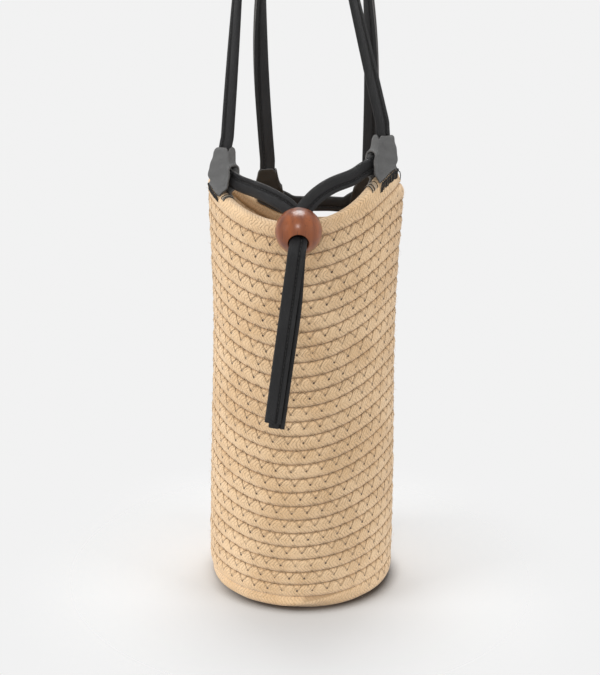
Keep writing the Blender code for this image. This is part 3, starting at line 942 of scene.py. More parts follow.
    def on_foot(self, wind: np.ndarray, past: float) -> np.ndarray:
        """Return whether winding angles are in the base's outer row or up to some degrees past the front."""
        front = self.form.front_angle
        return (wind > front - self.foot_turn) & (wind < front + past)

    def painted_groove_shade(self, wind: np.ndarray, around: np.ndarray) -> np.ndarray:
        """Work out the painted shade of the grooves between rows.

        Args:
            wind: winding angles.
            around: places round the rope, as shares of the way from the groove below.

        Returns:
            How much painted shade each gets, by how deep in a groove it lies, from 0 to 1.
        """
        middle = np.minimum(around, 1.0 - around)
        low, high = self.groove_shares
        under, over = smooth((low - middle) / self.groove_fade), smooth((middle - high) / self.groove_fade)
        # The rim has no row above it, and the foot's outer side is in the open
        bare = (wind > self.last - 360.0) | self.on_foot(wind, past=0.0)
        return np.maximum(under * ~self.on_foot(wind, past=50.0), np.where(bare, 0.0, over))

    def sewn(self, wind: np.ndarray) -> np.ndarray:
        """Return 1 where a row is sewn to one above it, and 0 on the rim and the foot."""
        return ((wind < self.last - 362.0) & ~self.on_foot(wind, past=40.0)).astype(float)

    def lengths(self) -> tuple[np.ndarray, np.ndarray]:
        """Return winding angles and the rope's length up to each."""
        wind = self.columns(self.first, self.last)
        return wind, distances(self.frames(wind)[0])

    def capped(self, points: np.ndarray, rim: np.ndarray, way: np.ndarray) -> tuple[np.ndarray, list]:
        """Round off an end of the rope.

        Args:
            points: all points so far.
            rim: the indices of the end's ring, in the order that turns its faces out.
            way: the direction out of the end.

        Returns:
            All points with the cap's, and the cap's faces.
        """
        way = unit(way)
        tip = points[rim].mean(axis=0)
        shoulder = tip + way * self.cap_shoulder
        shrunk = points[rim] * self.cap_share + shoulder * (1.0 - self.cap_share)
        top = len(points) + len(rim)
        inner = np.arange(len(points), top)
        rim_beside, inner_beside = np.roll(rim, -1), np.roll(inner, -1)
        sides = np.stack([rim, rim_beside, inner_beside, inner], axis=1)
        lid = np.stack([inner, inner_beside, np.full(len(rim), top)], axis=1)
        return np.vstack([points, shrunk, tip + way * self.cap]), [*sides.tolist(), *lid.tolist()]

    def piece(self, name: str, start: float, end: float, finish: bpy.types.Material) -> bpy.types.Object:
        """Make a length of the rope.

        Args:
            name: the piece's name.
            start: the winding angle of its start.
            end: the winding angle of its end.
            finish: its material.

        Returns:
            The rope as one object.
        """
        wind = self.columns(start, end)
        centre, up, out = self.frames(wind)
        pressed, free = (np.stack(self.ring(power), axis=-1) for power in (self.pressed, self.free))
        # The last turn has no row on it, so its top stays round
        bare = smooth((wind - self.last + 366.0) / 12.0)[:, None, None]
        ring = pressed[None] * (1.0 - bare) + free[None] * bare
        high = self.overlap * np.where(ring[..., 1:] > 0, 1.0 - self.free_height * bare, 1.0)
        points = centre[:, None] + ring[..., :1] * out[:, None] + ring[..., 1:] * high * up[:, None]
        points[..., 2] = np.maximum(points[..., 2], 0.0)
        points = points.reshape(-1, 3)
        faces = grid_faces(len(wind), self.ring_points)
        around = np.arange(self.ring_points)
        start_rim, end_rim = around[::-1], len(points) - self.ring_points + around
        points, start_cap = self.capped(points, start_rim, centre[0] - centre[1])
        points, end_cap = self.capped(points, end_rim, centre[-1] - centre[-2])
        caps = [*start_cap, *end_cap]
        row, column = np.divmod(np.arange(len(faces)), self.ring_points)
        across = np.stack([column, column, column + 1, column + 1], axis=1) / self.ring_points
        rows = np.stack([row, row + 1, row + 1, row], axis=1)
        all_wind, run = self.lengths()
        length, below = (np.interp(wind - back, all_wind, run) / self.form.pitch for back in (0.0, 360.0))
        turns = (wind - start) / 360.0
        whole = np.floor(turns[row] + 1e-6)[:, None]
        total = math.ceil((end - start) / 360.0 - 1e-6)
        maps = {
            "rope": (length[rows], across),
            "lower_row": (below[rows], across),
            "row_wear": (self.painted_groove_shade(wind[rows], across), self.sewn(wind[rows])),
            "OFBake": ((turns[rows] - whole) * 0.996 + 0.002, (whole + 0.01 + across * 0.98) / total),
        }
        corners = sum(len(face) for face in caps)
        for key, pair in maps.items():
            places = np.stack(pair, axis=-1).reshape(-1, 2)
            maps[key] = np.vstack([places, np.repeat(places[-1:], corners, axis=0)])
        return make_mesh(name, points, [*faces.tolist(), *caps], [finish], maps)

    def seam(self, name: str, side: Side, finish: bpy.types.Material) -> bpy.types.Object:
        """Make the zigzag thread that joins each row to the next.

        Args:
            name: the piece's name.
            side: the face of the wall that it lies on.
            finish: its material.

        Returns:
            The thread as one object.
        """
        wind, run = self.lengths()
        last = np.interp(self.last - 360.0, wind, run)
        # Places along one zigzag, as shares of it, and the thread's height over the cotton there
        shares = np.array([0.0, 0.07, 0.25, 0.31, 0.43, 0.5, 0.57, 0.69, 0.75, 0.93])
        lifts = np.array([-0.9, 0.16, 0.16, 0.05, 0.16, -0.7, 0.16, 0.05, 0.16, 0.16]) * MM
        stitches = np.arange(3, int(last / self.stitch) - 4)
        place = (stitches[:, None] + shares[None]).ravel()
        # Some stitches are pulled so tight that the cotton closes over them
        sunk = 0.26 * MM * np.abs(np.sin(stitches * 12.9898)) * (np.sin(stitches * 0.37) * 0.35 + 0.65)
        lift = (lifts[None] - sunk[:, None]).ravel()
        over = self.stitch_low + self.stitch_height * (1.0 - np.abs(2.0 * (place % 1.0) - 1.0))
        here = np.interp(place * self.stitch, run, wind)
        row = np.where(over < 0, here, here + 360.0)
        share = over / (self.form.pitch / 2) + np.where(over < 0, 1.0, -1.0)
        centre, up, out = self.frames(row)
        depth = np.maximum(bulge(np.clip(share / self.overlap, -1.0, 1.0), self.pressed), 0.83)
        away = unit(out) * side.value
        line = centre + share[:, None] * up + side.value * depth[:, None] * out + lift[:, None] * away
        line[:, 2] = np.maximum(line[:, 2], self.thread_radius)
        # The base's thread ends before the foot's row, and the wall's thread starts past the front
        base = here < self.form.front_angle - self.foot_turn
        wall = here > self.form.front_angle + 30.0
        parts = [tube(line[kept], away[kept], self.thread_radius, 4) for kept in (base, wall)]
        return make_mesh(name, *joined(parts), [finish])

    def loose_fibres(self, name: str, count: int, finish: bpy.types.Material) -> bpy.types.Object:
        """Make the short fibres that stand off the cotton.

        Args:
            name: the piece's name.
            count: how many there are.
            finish: their material.

        Returns:
            The fibres as one object.
        """
        radius, lowest = 0.000035, 0.0001
        chance = np.random.default_rng(7)
        wind = chance.uniform(self.form.front_angle + 10.0, self.last - 5.0, count)
        share = chance.uniform(-0.9, 0.9, count)
        centre, up, out = self.frames(wind)
        root = centre + share[:, None] * up + bulge(share, self.pressed)[:, None] * 0.985 * out
        away = unit(out)
        along = unit(np.cross(up, out))
        length = chance.uniform(0.0010, 0.0034, count)[:, None]
        lean = chance.normal(0.0, 1.0, (2, count, 1))
        way = unit(0.42 * away + lean[0] * along * 0.8 + lean[1] * unit(up) * 0.6)
        curl = unit(way + 0.9 * chance.normal(0.0, 1.0, (count, 1)) * along - 0.25 * away)
        middle = root + way * length * 0.5 + away * 0.0002
        lines = np.stack([root, middle, middle + curl * length * 0.5], axis=1)
        points, faces = joined([tube(line, rise, radius, 3) for line, rise in zip(lines, up)])
        points[:, 2] = np.maximum(points[:, 2], lowest)
        return make_mesh(name, points, faces, [finish])


# Straps


@dataclass(frozen=True)
class FoldedStrap:
    """A leather band folded once and sewn along its open edge.

    Attributes:
        seam_share: how far the seam is from the middle, as a share of the width.
        step: the distance between its cross-sections.
        bare_ends: how many cross-sections at each end have no stitches.
        cut_faces: the sides of the cross-section that show the raw edge.
        valleys: the points of the cross-section in the two sewn valleys.
    """

    width: float = 0.0100
    thickness: float = 0.0030
    seam_share: float = 0.19
    stitch: float = 0.0026
    step: float = 0.0022
    bare_ends: int = 2
    cut_faces: tuple[int, int] = (0, 23)
    valleys: tuple[int, int] = (5, 19)

    def outline(self) -> np.ndarray:
        """Draw the cross-section, with its slit.

        Returns:
            Its points, as shares of the half width and half thickness.
        """
        upper = [
            (1.00, 0.05), (1.00, 0.66), (0.95, 0.80), (0.70, 0.84), (0.50, 0.76), (0.38, 0.52), (0.27, 0.74),
            (0.10, 0.94), (-0.24, 1.00), (-0.60, 0.96), (-0.84, 0.76), (-0.96, 0.42), (-1.00, 0.0),
        ]
        slit = [(0.44, -0.05), (0.20, -0.10), (-0.20, -0.22), (-0.60, -0.20), (-0.74, 0.0)]
        lower, back = ([(across, -deep) for across, deep in reversed(half[:-1])] for half in (upper, slit))
        return np.array([*upper, *lower, *slit, *back])

    def seams(self) -> tuple[float, ...]:
        """Return where the sewn valleys are, as shares of the way round the cross-section."""
        return tuple(point / len(self.outline()) for point in self.valleys)

    def frames(self, line: np.ndarray) -> tuple[np.ndarray, np.ndarray]:
        """Turn a strap along its line.

        Args:
            line: places and width directions, six numbers a line.

        Returns:
            The directions of the width and of the thickness.
        """
        along = unit(np.gradient(line[:, :3], axis=0))
        wide = line[:, 3:6]
        wide = unit(wide - (wide * along).sum(axis=1, keepdims=True) * along)
        return wide, np.cross(along, wide)

    def band(
        self, name: str, knots: Sequence[np.ndarray], finishes: Sequence[bpy.types.Material]
    ) -> tuple[bpy.types.Object, np.ndarray]:
        """Make a strap along a curve.

        Args:
            name: the piece's name.
            knots: places and width directions, six numbers a line.
            finishes: the materials of the face and of the raw edge.

        Returns:
            The strap and the evenly spaced line that it follows.
        """
        line, run = curve_through(np.array(knots), self.step)
        wide, deep = self.frames(line)
        section = self.outline() * np.array([self.width / 2, self.thickness / 2])
        across, rise = section[None, :, :1] * wide[:, None], section[None, :, 1:] * deep[:, None]
        points = (line[:, None, :3] + across + rise).reshape(-1, 3)
        around, total = len(section), len(line) * len(section)
        faces = grid_faces(len(line), around)[:, ::-1]
        ends = [list(range(around)), list(range(total - 1, total - around - 1, -1))]
        row, column = np.divmod(np.arange(len(faces)), around)
        across = np.stack([column + 1, column + 1, column, column], axis=1) / around
        length = run[np.stack([row, row + 1, row + 1, row], axis=1)] / self.width
        places = np.vstack([np.stack([length, across], axis=-1).reshape(-1, 2), np.zeros((2 * around, 2))])
        raw = np.append(np.isin(column, self.cut_faces), [True, True])
        everything = [*faces.tolist(), *ends]
        return make_mesh(name, points, everything, finishes, {"strap": places}, raw, len(ends)), line

    def sewing(self, name: str, line: np.ndarray, finish: bpy.types.Material) -> bpy.types.Object:
        """Make the row of stitches in the valley of a strap, on both faces.

        Args:
            name: the piece's name.
            line: the line that the strap follows.
            finish: the thread's material.

        Returns:
            The stitches as one object.
        """
        line = line[self.bare_ends : len(line) - self.bare_ends]
        run = distances(line[:, :3])
        even = at_distances(line, run, np.arange(self.stitch, run[-1] - self.stitch, self.stitch))
        wide, deep = self.frames(even)
        along = np.cross(wide, deep)
        # One stitch: a short rod of four six-sided rings, the outer two smaller
        turn = np.arange(6) * math.pi / 3
        lengthwise = np.repeat(np.array([-0.95, -0.62, 0.62, 0.95]) * MM, 6)
        swell = np.array([0.45, 1.0, 1.0, 0.45])
        sideways, upward = np.outer(swell, np.cos(turn)).ravel(), np.outer(swell, np.sin(turn)).ravel()
        grain = np.stack([lengthwise, sideways * 0.30 * MM, upward * 0.24 * MM], axis=1)
        faces = grid_faces(4, 6)
        middle = even[:, :3] + wide * self.width * self.seam_share
        parts = []
        for side in (1.0, -1.0):
            base = middle + side * deep * self.thickness * 0.32
            parts += [(spot + grain @ np.stack(axes), faces) for spot, *axes in zip(base, along, wide, deep)]
        return make_mesh(name, *joined(parts), [finish])


# Rim tabs


@dataclass(frozen=True)
class RimTab:
    """A folded leather sleeve sewn over the rim rope, that turns the strap upward.

    Distances along the tab start at its mouth, where the strap enters.

    Attributes:
        middle: the angle of its middle.
        way: 1 if the strap runs towards higher angles in it, and -1 if not.
        turn: how far the part over the rim is turned out of the rim's line.
        lean: how far that part leans in, as a share of its height.
        leather: the thickness of its leather.
        outer_overlap: how far its outer flap hangs below the rim's crest. The inner flap has its own.
        lip: how far the mouth's lip is rolled out, over lip_length.
        skin_lift: how far leather and thread stay off the rope.
    """

    name: str
    form: BagForm
    middle: float
    way: int
    turn: float
    lean: float
    length: float = 0.0200
    leather: float = 0.0014
    outer_overlap: float = 0.0015
    inner_overlap: float = 0.0036
    corner: float = 0.0030
    loose_end: bool = False
    strap: FoldedStrap = field(default_factory=FoldedStrap)
    gap: float = 0.0003
    flap_points: int = 13
    fold_points: int = 9
    lip: float = 0.0017
    lip_length: float = 0.0035
    skin_lift: float = 0.00012

    @property
    def mouth_height(self) -> float:
        """Return the height of the strap's middle in the mouth, over the rim."""
        return 0.85 * self.strap.width

    @property
    def bend(self) -> float:
        """Return the radius of the strap's bend inside."""
        return 1.10 * self.strap.width

    @property
    def exit_along(self) -> float:
        """Return how far from the mouth the strap leaves upward."""
        return 1.20 * self.strap.width

    @property
    def fold_end(self) -> float:
        """Return how far from the mouth the fold opens to let the strap out."""
        return self.exit_along - self.strap.width / 2 - self.leather - self.gap

    @property
    def tunnel_half(self) -> float:
        """Return half the distance between the two sheets."""
        return self.strap.thickness / 2 + 2 * self.gap + self.leather / 2

    @property
    def foot(self) -> float:
        """Return the height over the rim where the flaps become the tunnel."""
        return 1.3 * self.tunnel_half

    def skin(self, up: np.ndarray) -> np.ndarray:
        """Find the side of the rim rope.

        Args:
            up: heights over its crest.

        Returns:
            How far from its middle the rope reaches there, with the room that leather and thread leave.
        """
        half = self.form.pitch / 2
        share = np.clip((up + half) / (1.012 * half), -1.0, 1.0)
        return self.form.half_rope * bulge(share, 2.15) + self.skin_lift

    def angle_at(self, along: Values) -> np.ndarray:
        """Turn distances along the tab into angles.

        Args:
            along: distances from the mouth.

        Returns:
            The rim's angle at each.
        """
        chord = self.form.rim(self.middle + 1.0, 0.0, 0.0) - self.form.rim(self.middle - 1.0, 0.0, 0.0)
        step = 2.0 / float(np.linalg.norm(chord))
        return self.middle + self.way * (np.asarray(along, float) - self.length / 2) * step

    def run(self) -> tuple[np.ndarray, np.ndarray]:
        """Return the start of the rim under the tab and the way to its end."""
        near = self.form.rim(self.angle_at(0.0), 0.0, 0.0)
        return near, self.form.rim(self.angle_at(self.length), 0.0, 0.0) - near

    def slope(self) -> float:
        """Return how steeply the rim climbs under the tab, in radians."""
        way = self.run()[1]
        return math.atan2(way[2], math.hypot(way[0], way[1]))

    def point(self, along: Values, up: Values, out: Values) -> np.ndarray:
        """Return places on the tab, which follow the rim up to the foot and a turned, leaning sheet above.

        Args:
            along: the distance from the mouth.
            up: the height over the rim's crest.
            out: the distance out from the middle of the rope.

        Returns:
            One place a line.
        """
        along, up, out = np.broadcast_arrays(*(np.asarray(value, float) for value in (along, up, out)))
        low = self.form.rim(self.angle_at(along), out, up)
        near, way = self.run()
        level = unit(np.array([way[0], way[1], 0.0]))
        across = np.array([level[1], -level[0], 0.0]) * self.way
        offset = (along - self.length / 2)[..., None] * level + out[..., None] * across
        turn = math.radians(self.turn)
        spun = offset.copy()
        spun[..., 0] = offset[..., 0] * math.cos(turn) - offset[..., 1] * math.sin(turn)
        spun[..., 1] = offset[..., 0] * math.sin(turn) + offset[..., 1] * math.cos(turn)
        spun[..., 2] = up + (along - self.length / 2) * math.tan(self.slope())
        outer = self.form.outward(self.middle, self.form.rim_climb(self.middle))
        high = near + way / 2 + spun - self.lean * np.maximum(up, 0.0)[..., None] * outer
        return low + (high - low) * smooth(up / self.foot)[..., None]

    def strap_path(self) -> list[tuple[float, float, float]]:
        """Bend the strap from along the rim to upward.

        Returns:
            Its way inside: distances from the mouth, heights over the rim and turns of its width.
        """
        slope = self.slope()
        lead = (self.exit_along - self.bend * (1.0 - math.sin(slope))) / math.cos(slope)
        along = lead * math.cos(slope) - self.bend * math.sin(slope)
        rise = self.mouth_height + lead * math.sin(slope) + self.bend * math.cos(slope)
        start = slope - math.pi / 2
        spots = [(0.0, self.mouth_height, start)]
        for step in range(5):
            turn = start * (1.0 - step / 4)
            spots.append((along + self.bend * math.cos(turn), rise + self.bend * math.sin(turn), turn))
        spots.append((self.exit_along, rise + 0.80 * self.strap.width, 0.0))
        return [(reach, up - reach * math.tan(slope), turn) for reach, up, turn in spots]

    def tunnel(self) -> np.ndarray:
        """Lay the strap inside.

        Returns:
            Its places and width directions, from the mouth to the exit.
        """
        climb = math.tan(self.slope())
        reach = self.strap.width / 4
        rows = []
        for along, up, turn in self.strap_path():
            side, rise = reach * math.cos(turn), reach * math.sin(turn)
            centre = self.point(along, up, 0.0)
            rows.append(knot(centre, unit(self.point(along + side, up + rise - side * climb, 0.0) - centre)))
        return np.array(rows)

    def hinge(self) -> np.ndarray:
        """Place the handle's hinge.

        Returns:
            The place over the exit that the handle turns about.
        """
        along, up, _ = self.strap_path()[-1]
        lift = (0.97 + 0.35) * self.strap.thickness / 2 + 2.5 * self.gap
        return self.point(along, up + lift, 0.0)

    def collar(self) -> np.ndarray:
        """Return the place just over the hinge where the handle starts to bend freely."""
        tunnel = self.tunnel()
        return self.hinge() + 0.35 * self.strap.width * unit(tunnel[-1, :3] - tunnel[-2, :3])

    def sleeve_row(self, along: float) -> np.ndarray:
        """Lay a strip of the sheet over the rope.

        Args:
            along: its distance from the mouth.

        Returns:
            Its places, from the outer flap's edge over the fold to the inner flap's.
        """
        half = self.tunnel_half
        fold_height = self.mouth_height + self.strap.width / 2 + self.leather + 4 * self.gap
        open_height = float(self.tunnel()[-1][2]) - float(self.point(along, 0.0, 0.0)[2])
        ridge = min(along / self.fold_end, 1.0) ** 2.2
        top = (1.0 - ridge) * fold_height + ridge * open_height
        crown = top if along <= self.fold_end else top + half
        past = max(along - (self.length - self.corner), 0.0) / self.corner
        crown -= self.corner * (1.0 - math.sqrt(max(1.0 - past * past, 0.0))) * 0.8
        roll = smooth(1.0 - along / self.lip_length)
        flaps = []
        for overlap in (self.outer_overlap, self.inner_overlap):
            rise = np.linspace(-overlap, crown - half, self.flap_points)
            clear = np.maximum(half, self.skin(np.minimum(rise, 0.0)) + self.gap + self.leather / 2)
            flaps.append((clear + self.lip * roll * smooth(rise / self.foot), rise))
        (outs, ups), (inner_outs, inner_ups) = flaps
        arc = np.linspace(0.0, math.pi, self.fold_points + 2)[1:-1]
        fold_out = (half + self.lip * roll) * np.cos(arc)
        fold_up = crown - half + (half + 0.0005 * roll) * np.sin(arc)
        out = np.concatenate([outs, fold_out, -inner_outs[::-1]])
        up = np.concatenate([ups, fold_up, inner_ups[::-1]])
        narrow = 1.0 - 0.20 * smooth((up - self.mouth_height) / 0.010)
        reach = self.exit_along + (along - self.exit_along) * narrow
        wrinkle = 0.00025 * np.sin(up * 900.0 + along * 500.0)
        return self.point(reach, up, out + np.sign(out) * wrinkle)

    def sleeve(self, finishes: Sequence[bpy.types.Material]) -> bpy.types.Object:
        """Make the folded sheet, closed over the mouth and open over the exit, with its lip rolled out.

        Args:
            finishes: the materials of the face and of the raw edge.

        Returns:
            The sheet, with its thickness.
        """
        closed = np.linspace(0.0, self.fold_end, 9)
        columns = np.concatenate([closed, np.linspace(self.fold_end, self.length, 9)[1:]])
        points = np.array([self.sleeve_row(along) for along in columns]).reshape(-1, 3)
        around = 2 * self.flap_points + self.fold_points
        faces = grid_faces(len(columns), around, closed=False)
        row, column = np.divmod(np.arange(len(faces)), around - 1)
        over = (column >= self.flap_points - 1) & (column < self.flap_points + self.fold_points)
        kept = faces[~(over & (row >= len(closed) - 1))]
        if self.way > 0:
            kept = kept[:, ::-1]
        piece = make_mesh(f"{self.name}_sleeve", points, kept, finishes)
        with editing(piece):
            bpy.ops.mesh.select_all(action="SELECT")
            bpy.ops.mesh.delete_loose()
        thick = piece.modifiers.new("leather", "SOLIDIFY")
        thick.thickness = self.leather
        thick.offset = 0.0
        thick.use_even_offset = True
        thick.material_offset_rim = 1
        soft = piece.modifiers.new("soften", "SUBSURF")
        soft.levels = soft.render_levels = 1
        for modifier in ("leather", "soften"):
            bpy.ops.object.modifier_apply(modifier=modifier)
        deselect()
        return piece

    def whip_stitches(self, name: str, finish: bpy.types.Material) -> bpy.types.Object:
        """Make the close overhand stitches that hold the outer flap to the rope.

        Args:
            name: the piece's name.
            finish: the thread's material.

        Returns:
            The stitches as one object.
        """
        margin, count, radius = 0.0009, 14, 0.00033
        # A stitch, from the flap over its edge into the rope: heights from the edge, distances off the rope
        ups = np.array([1.0, 0.2, -0.2, -1.1, -2.1, -3.2, -3.6]) * MM - self.outer_overlap
        outs = self.skin(ups) + np.array([-0.3, 1.9, 1.7, 0.6, 0.25, 0.2, -1.0]) * MM
        away = self.form.outward(self.middle, 0.25)
        parts = []
        for index, along in enumerate(np.linspace(margin, self.length - margin, count)):
            slant = np.linspace(0.0004, -0.0004, len(ups)) + 0.00012 * math.sin(index * 2.3 + 1.0)
            drop = ups - 0.0002 * math.sin(index * 1.7) * np.linspace(0.0, 1.0, len(ups))
            parts.append(tube(self.point(along + slant, drop, outs), away, radius, 6))
        if self.loose_end:
            ends = np.array([[0.0, -2.0, 0.4], [1.2, -2.3, 1.0], [2.2, -3.4, 1.1], [2.7, -5.0, 0.7]]) * MM
            along, up, out = ends.T
            knots = self.point(self.length + along, up, self.form.half_rope + out)
            parts.append(tube(curve_through(knots, 0.0005)[0], np.array([0.3, 0.3, 1.3]), 0.00030, 5))
        return make_mesh(name, *joined(parts), [finish])

    def wraps(
        self, name: str, rope: CoiledRope, offsets: Sequence[float], finish: bpy.types.Material
    ) -> bpy.types.Object:
        """Make the threads that are wrapped round the rim rope beside the mouth.

        Args:
            name: the piece's name.
            rope: the bag's rope.
            offsets: how far before the mouth each thread is.
            finish: their material.

        Returns:
            The threads as one object.
        """
        across, rise = rope.ring(rope.free)
        # Only the part of the rope over its groove is wrapped
        across, rise = across[rise > 0.42], rise[rise > 0.42]
        parts = []
        for index, offset in enumerate(offsets):
            angle = float(self.angle_at(-offset)) + 360.0 * (self.form.rows - 1)
            centre, up, out = (values[0] for values in rope.frames(np.array([angle])))
            lean = 0.0007 * math.sin(index * 2.1 + 1.0)
            way = unit(np.cross(up, out))
            line = centre + 1.05 * across[:, None] * out + 1.075 * rise[:, None] * up
            line = line + way * (lean * rise)[:, None]
            line[[0, -1]] -= 0.0009 * unit(line[[0, -1]] - centre)
            parts.append(tube(line, unit(line - centre), 0.00026, 5))
        return make_mesh(name, *joined(parts), [finish])


# Sub-assemblies


@dataclass
class Bucket:
    """The rope bucket: base, wall and the zigzag seams."""

    rope: CoiledRope
    fibres: int = 2600

    def build(self) -> None:
        """Make and attach the bucket's pieces."""
        rope = self.rope
        cotton = CottonRope().dress()
        thread = CottonThread("seam_thread", (0.76, 0.54, 0.325), (0.55, 0.37, 0.20)).dress()
        base = rope.piece("braided_base", rope.first, rope.wall_from, cotton)
        attach(base, Body.BAG, Slot.ROPE, "rope_base")
        wall = rope.piece("braided_wall", rope.wall_from, rope.last, cotton)
        attach(wall, Body.BAG, Slot.ROPE, "rope_wall")
        attach(rope.seam("outer_zigzag_seam", Side.OUTSIDE, thread), Body.BAG, Slot.ROPE)
        attach(rope.seam("inner_zigzag_seam", Side.INSIDE, thread), Body.BAG, Slot.ROPE)
        fuzz = CottonThread("loose_fibre", (0.84, 0.68, 0.48), (0.70, 0.52, 0.33)).dress()
        attach(rope.loose_fibres("loose_fibres", self.fibres, fuzz), Body.BAG, Slot.ROPE)


@dataclass
class LeatherWork:
    """The materials that the tabs and straps share."""

    strap: bpy.types.Material
    tab: bpy.types.Material
    back_tab: bpy.types.Material
    edge: bpy.types.Material
    thread: bpy.types.Material

    @classmethod
    def dressed(cls) -> "LeatherWork":
        """Dress the leather, its cut edge and its thread.

        Returns:
            The materials.
        """
        black, worn = (0.015, 0.015, 0.016), (0.030, 0.030, 0.031)
        # The back tabs are the straps' black leather, painted brown as a copy lit by warm bounce light, with
        # random lighter wear
        brown, painted_bounce_worn_brown = (0.022, 0.018, 0.014), (0.040, 0.031, 0.022)
        # The tabs are the straps' black leather, painted grey as a lit copy of it, with random lighter wear
        painted_lit_grey, painted_lit_worn_grey = (0.125, 0.125, 0.124), (0.190, 0.190, 0.187)
        return cls(
            strap=Leather("strap_leather", black, worn, 0.38, seams=FoldedStrap().seams()).dress(),
            tab=Leather("painted_lit_tab_leather", painted_lit_grey, painted_lit_worn_grey, 0.46, 1100.0).dress(),
            back_tab=Leather("painted_bounce_back_tab_leather", brown, painted_bounce_worn_brown, 0.6, 1100.0).dress(),
            edge=CutLeather().dress(),
            thread=CottonThread("black_thread", (0.030, 0.029, 0.029), (0.008, 0.008, 0.008)).dress(),
        )


@dataclass
class RimTabs:
    """The four tabs, their stitches and the wraps beside the front ones."""

    form: BagForm
    rope: CoiledRope
    leather: LeatherWork

    def tabs(self) -> dict[str, RimTab]:
        """Place the four tabs on the rim.

        Returns:
            The tabs by name.
        """
        tabs = (
            RimTab("tab_front_left", self.form, 201.5, -1, 25.0, 0.20),
            RimTab("tab_front_right", self.form, 324.0, 1, -16.0, 0.12, loose_end=True),
            RimTab("tab_back_left", self.form, 113.0, 1, 0.0, 0.12, inner_overlap=0.0016),
            RimTab("tab_back_right", self.form, 47.0, -1, 0.0, 0.12, inner_overlap=0.0016),
        )
        return {tab.name: tab for tab in tabs}

    def build(self) -> dict[str, RimTab]:
        """Make and attach the tabs, their stitches and the wraps.

        Returns:
            The tabs by name.
        """
        pale = CottonThread("pale_thread", (0.72, 0.66, 0.56), (0.40, 0.34, 0.26)).dress()
        tabs = self.tabs()
        for name, tab in tabs.items():
            face = self.leather.back_tab if "back" in name else self.leather.tab
            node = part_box(name)
            log.info("%s fits a CAD box %.1f mm high", name, (node[1].z - node[0].z) / MM)
            attach(tab.sleeve([face, self.leather.edge]), Body.BAG, Slot.LEATHER, name)
            attach(tab.whip_stitches(f"{name}_stitches", self.leather.thread), Body.BAG, Slot.LEATHER)
        for name in ("tab_front_left", "tab_front_right"):
            for tint, offsets, thread, slot in (
                ("dark", (0.0016, 0.0040, 0.0052), self.leather.thread, Slot.LEATHER),
                ("pale", (0.0026, 0.0033, 0.0047), pale, Slot.ROPE),
            ):
                attach(tabs[name].wraps(f"{name}_{tint}_wraps", self.rope, offsets, thread), Body.BAG, slot)
        return tabs


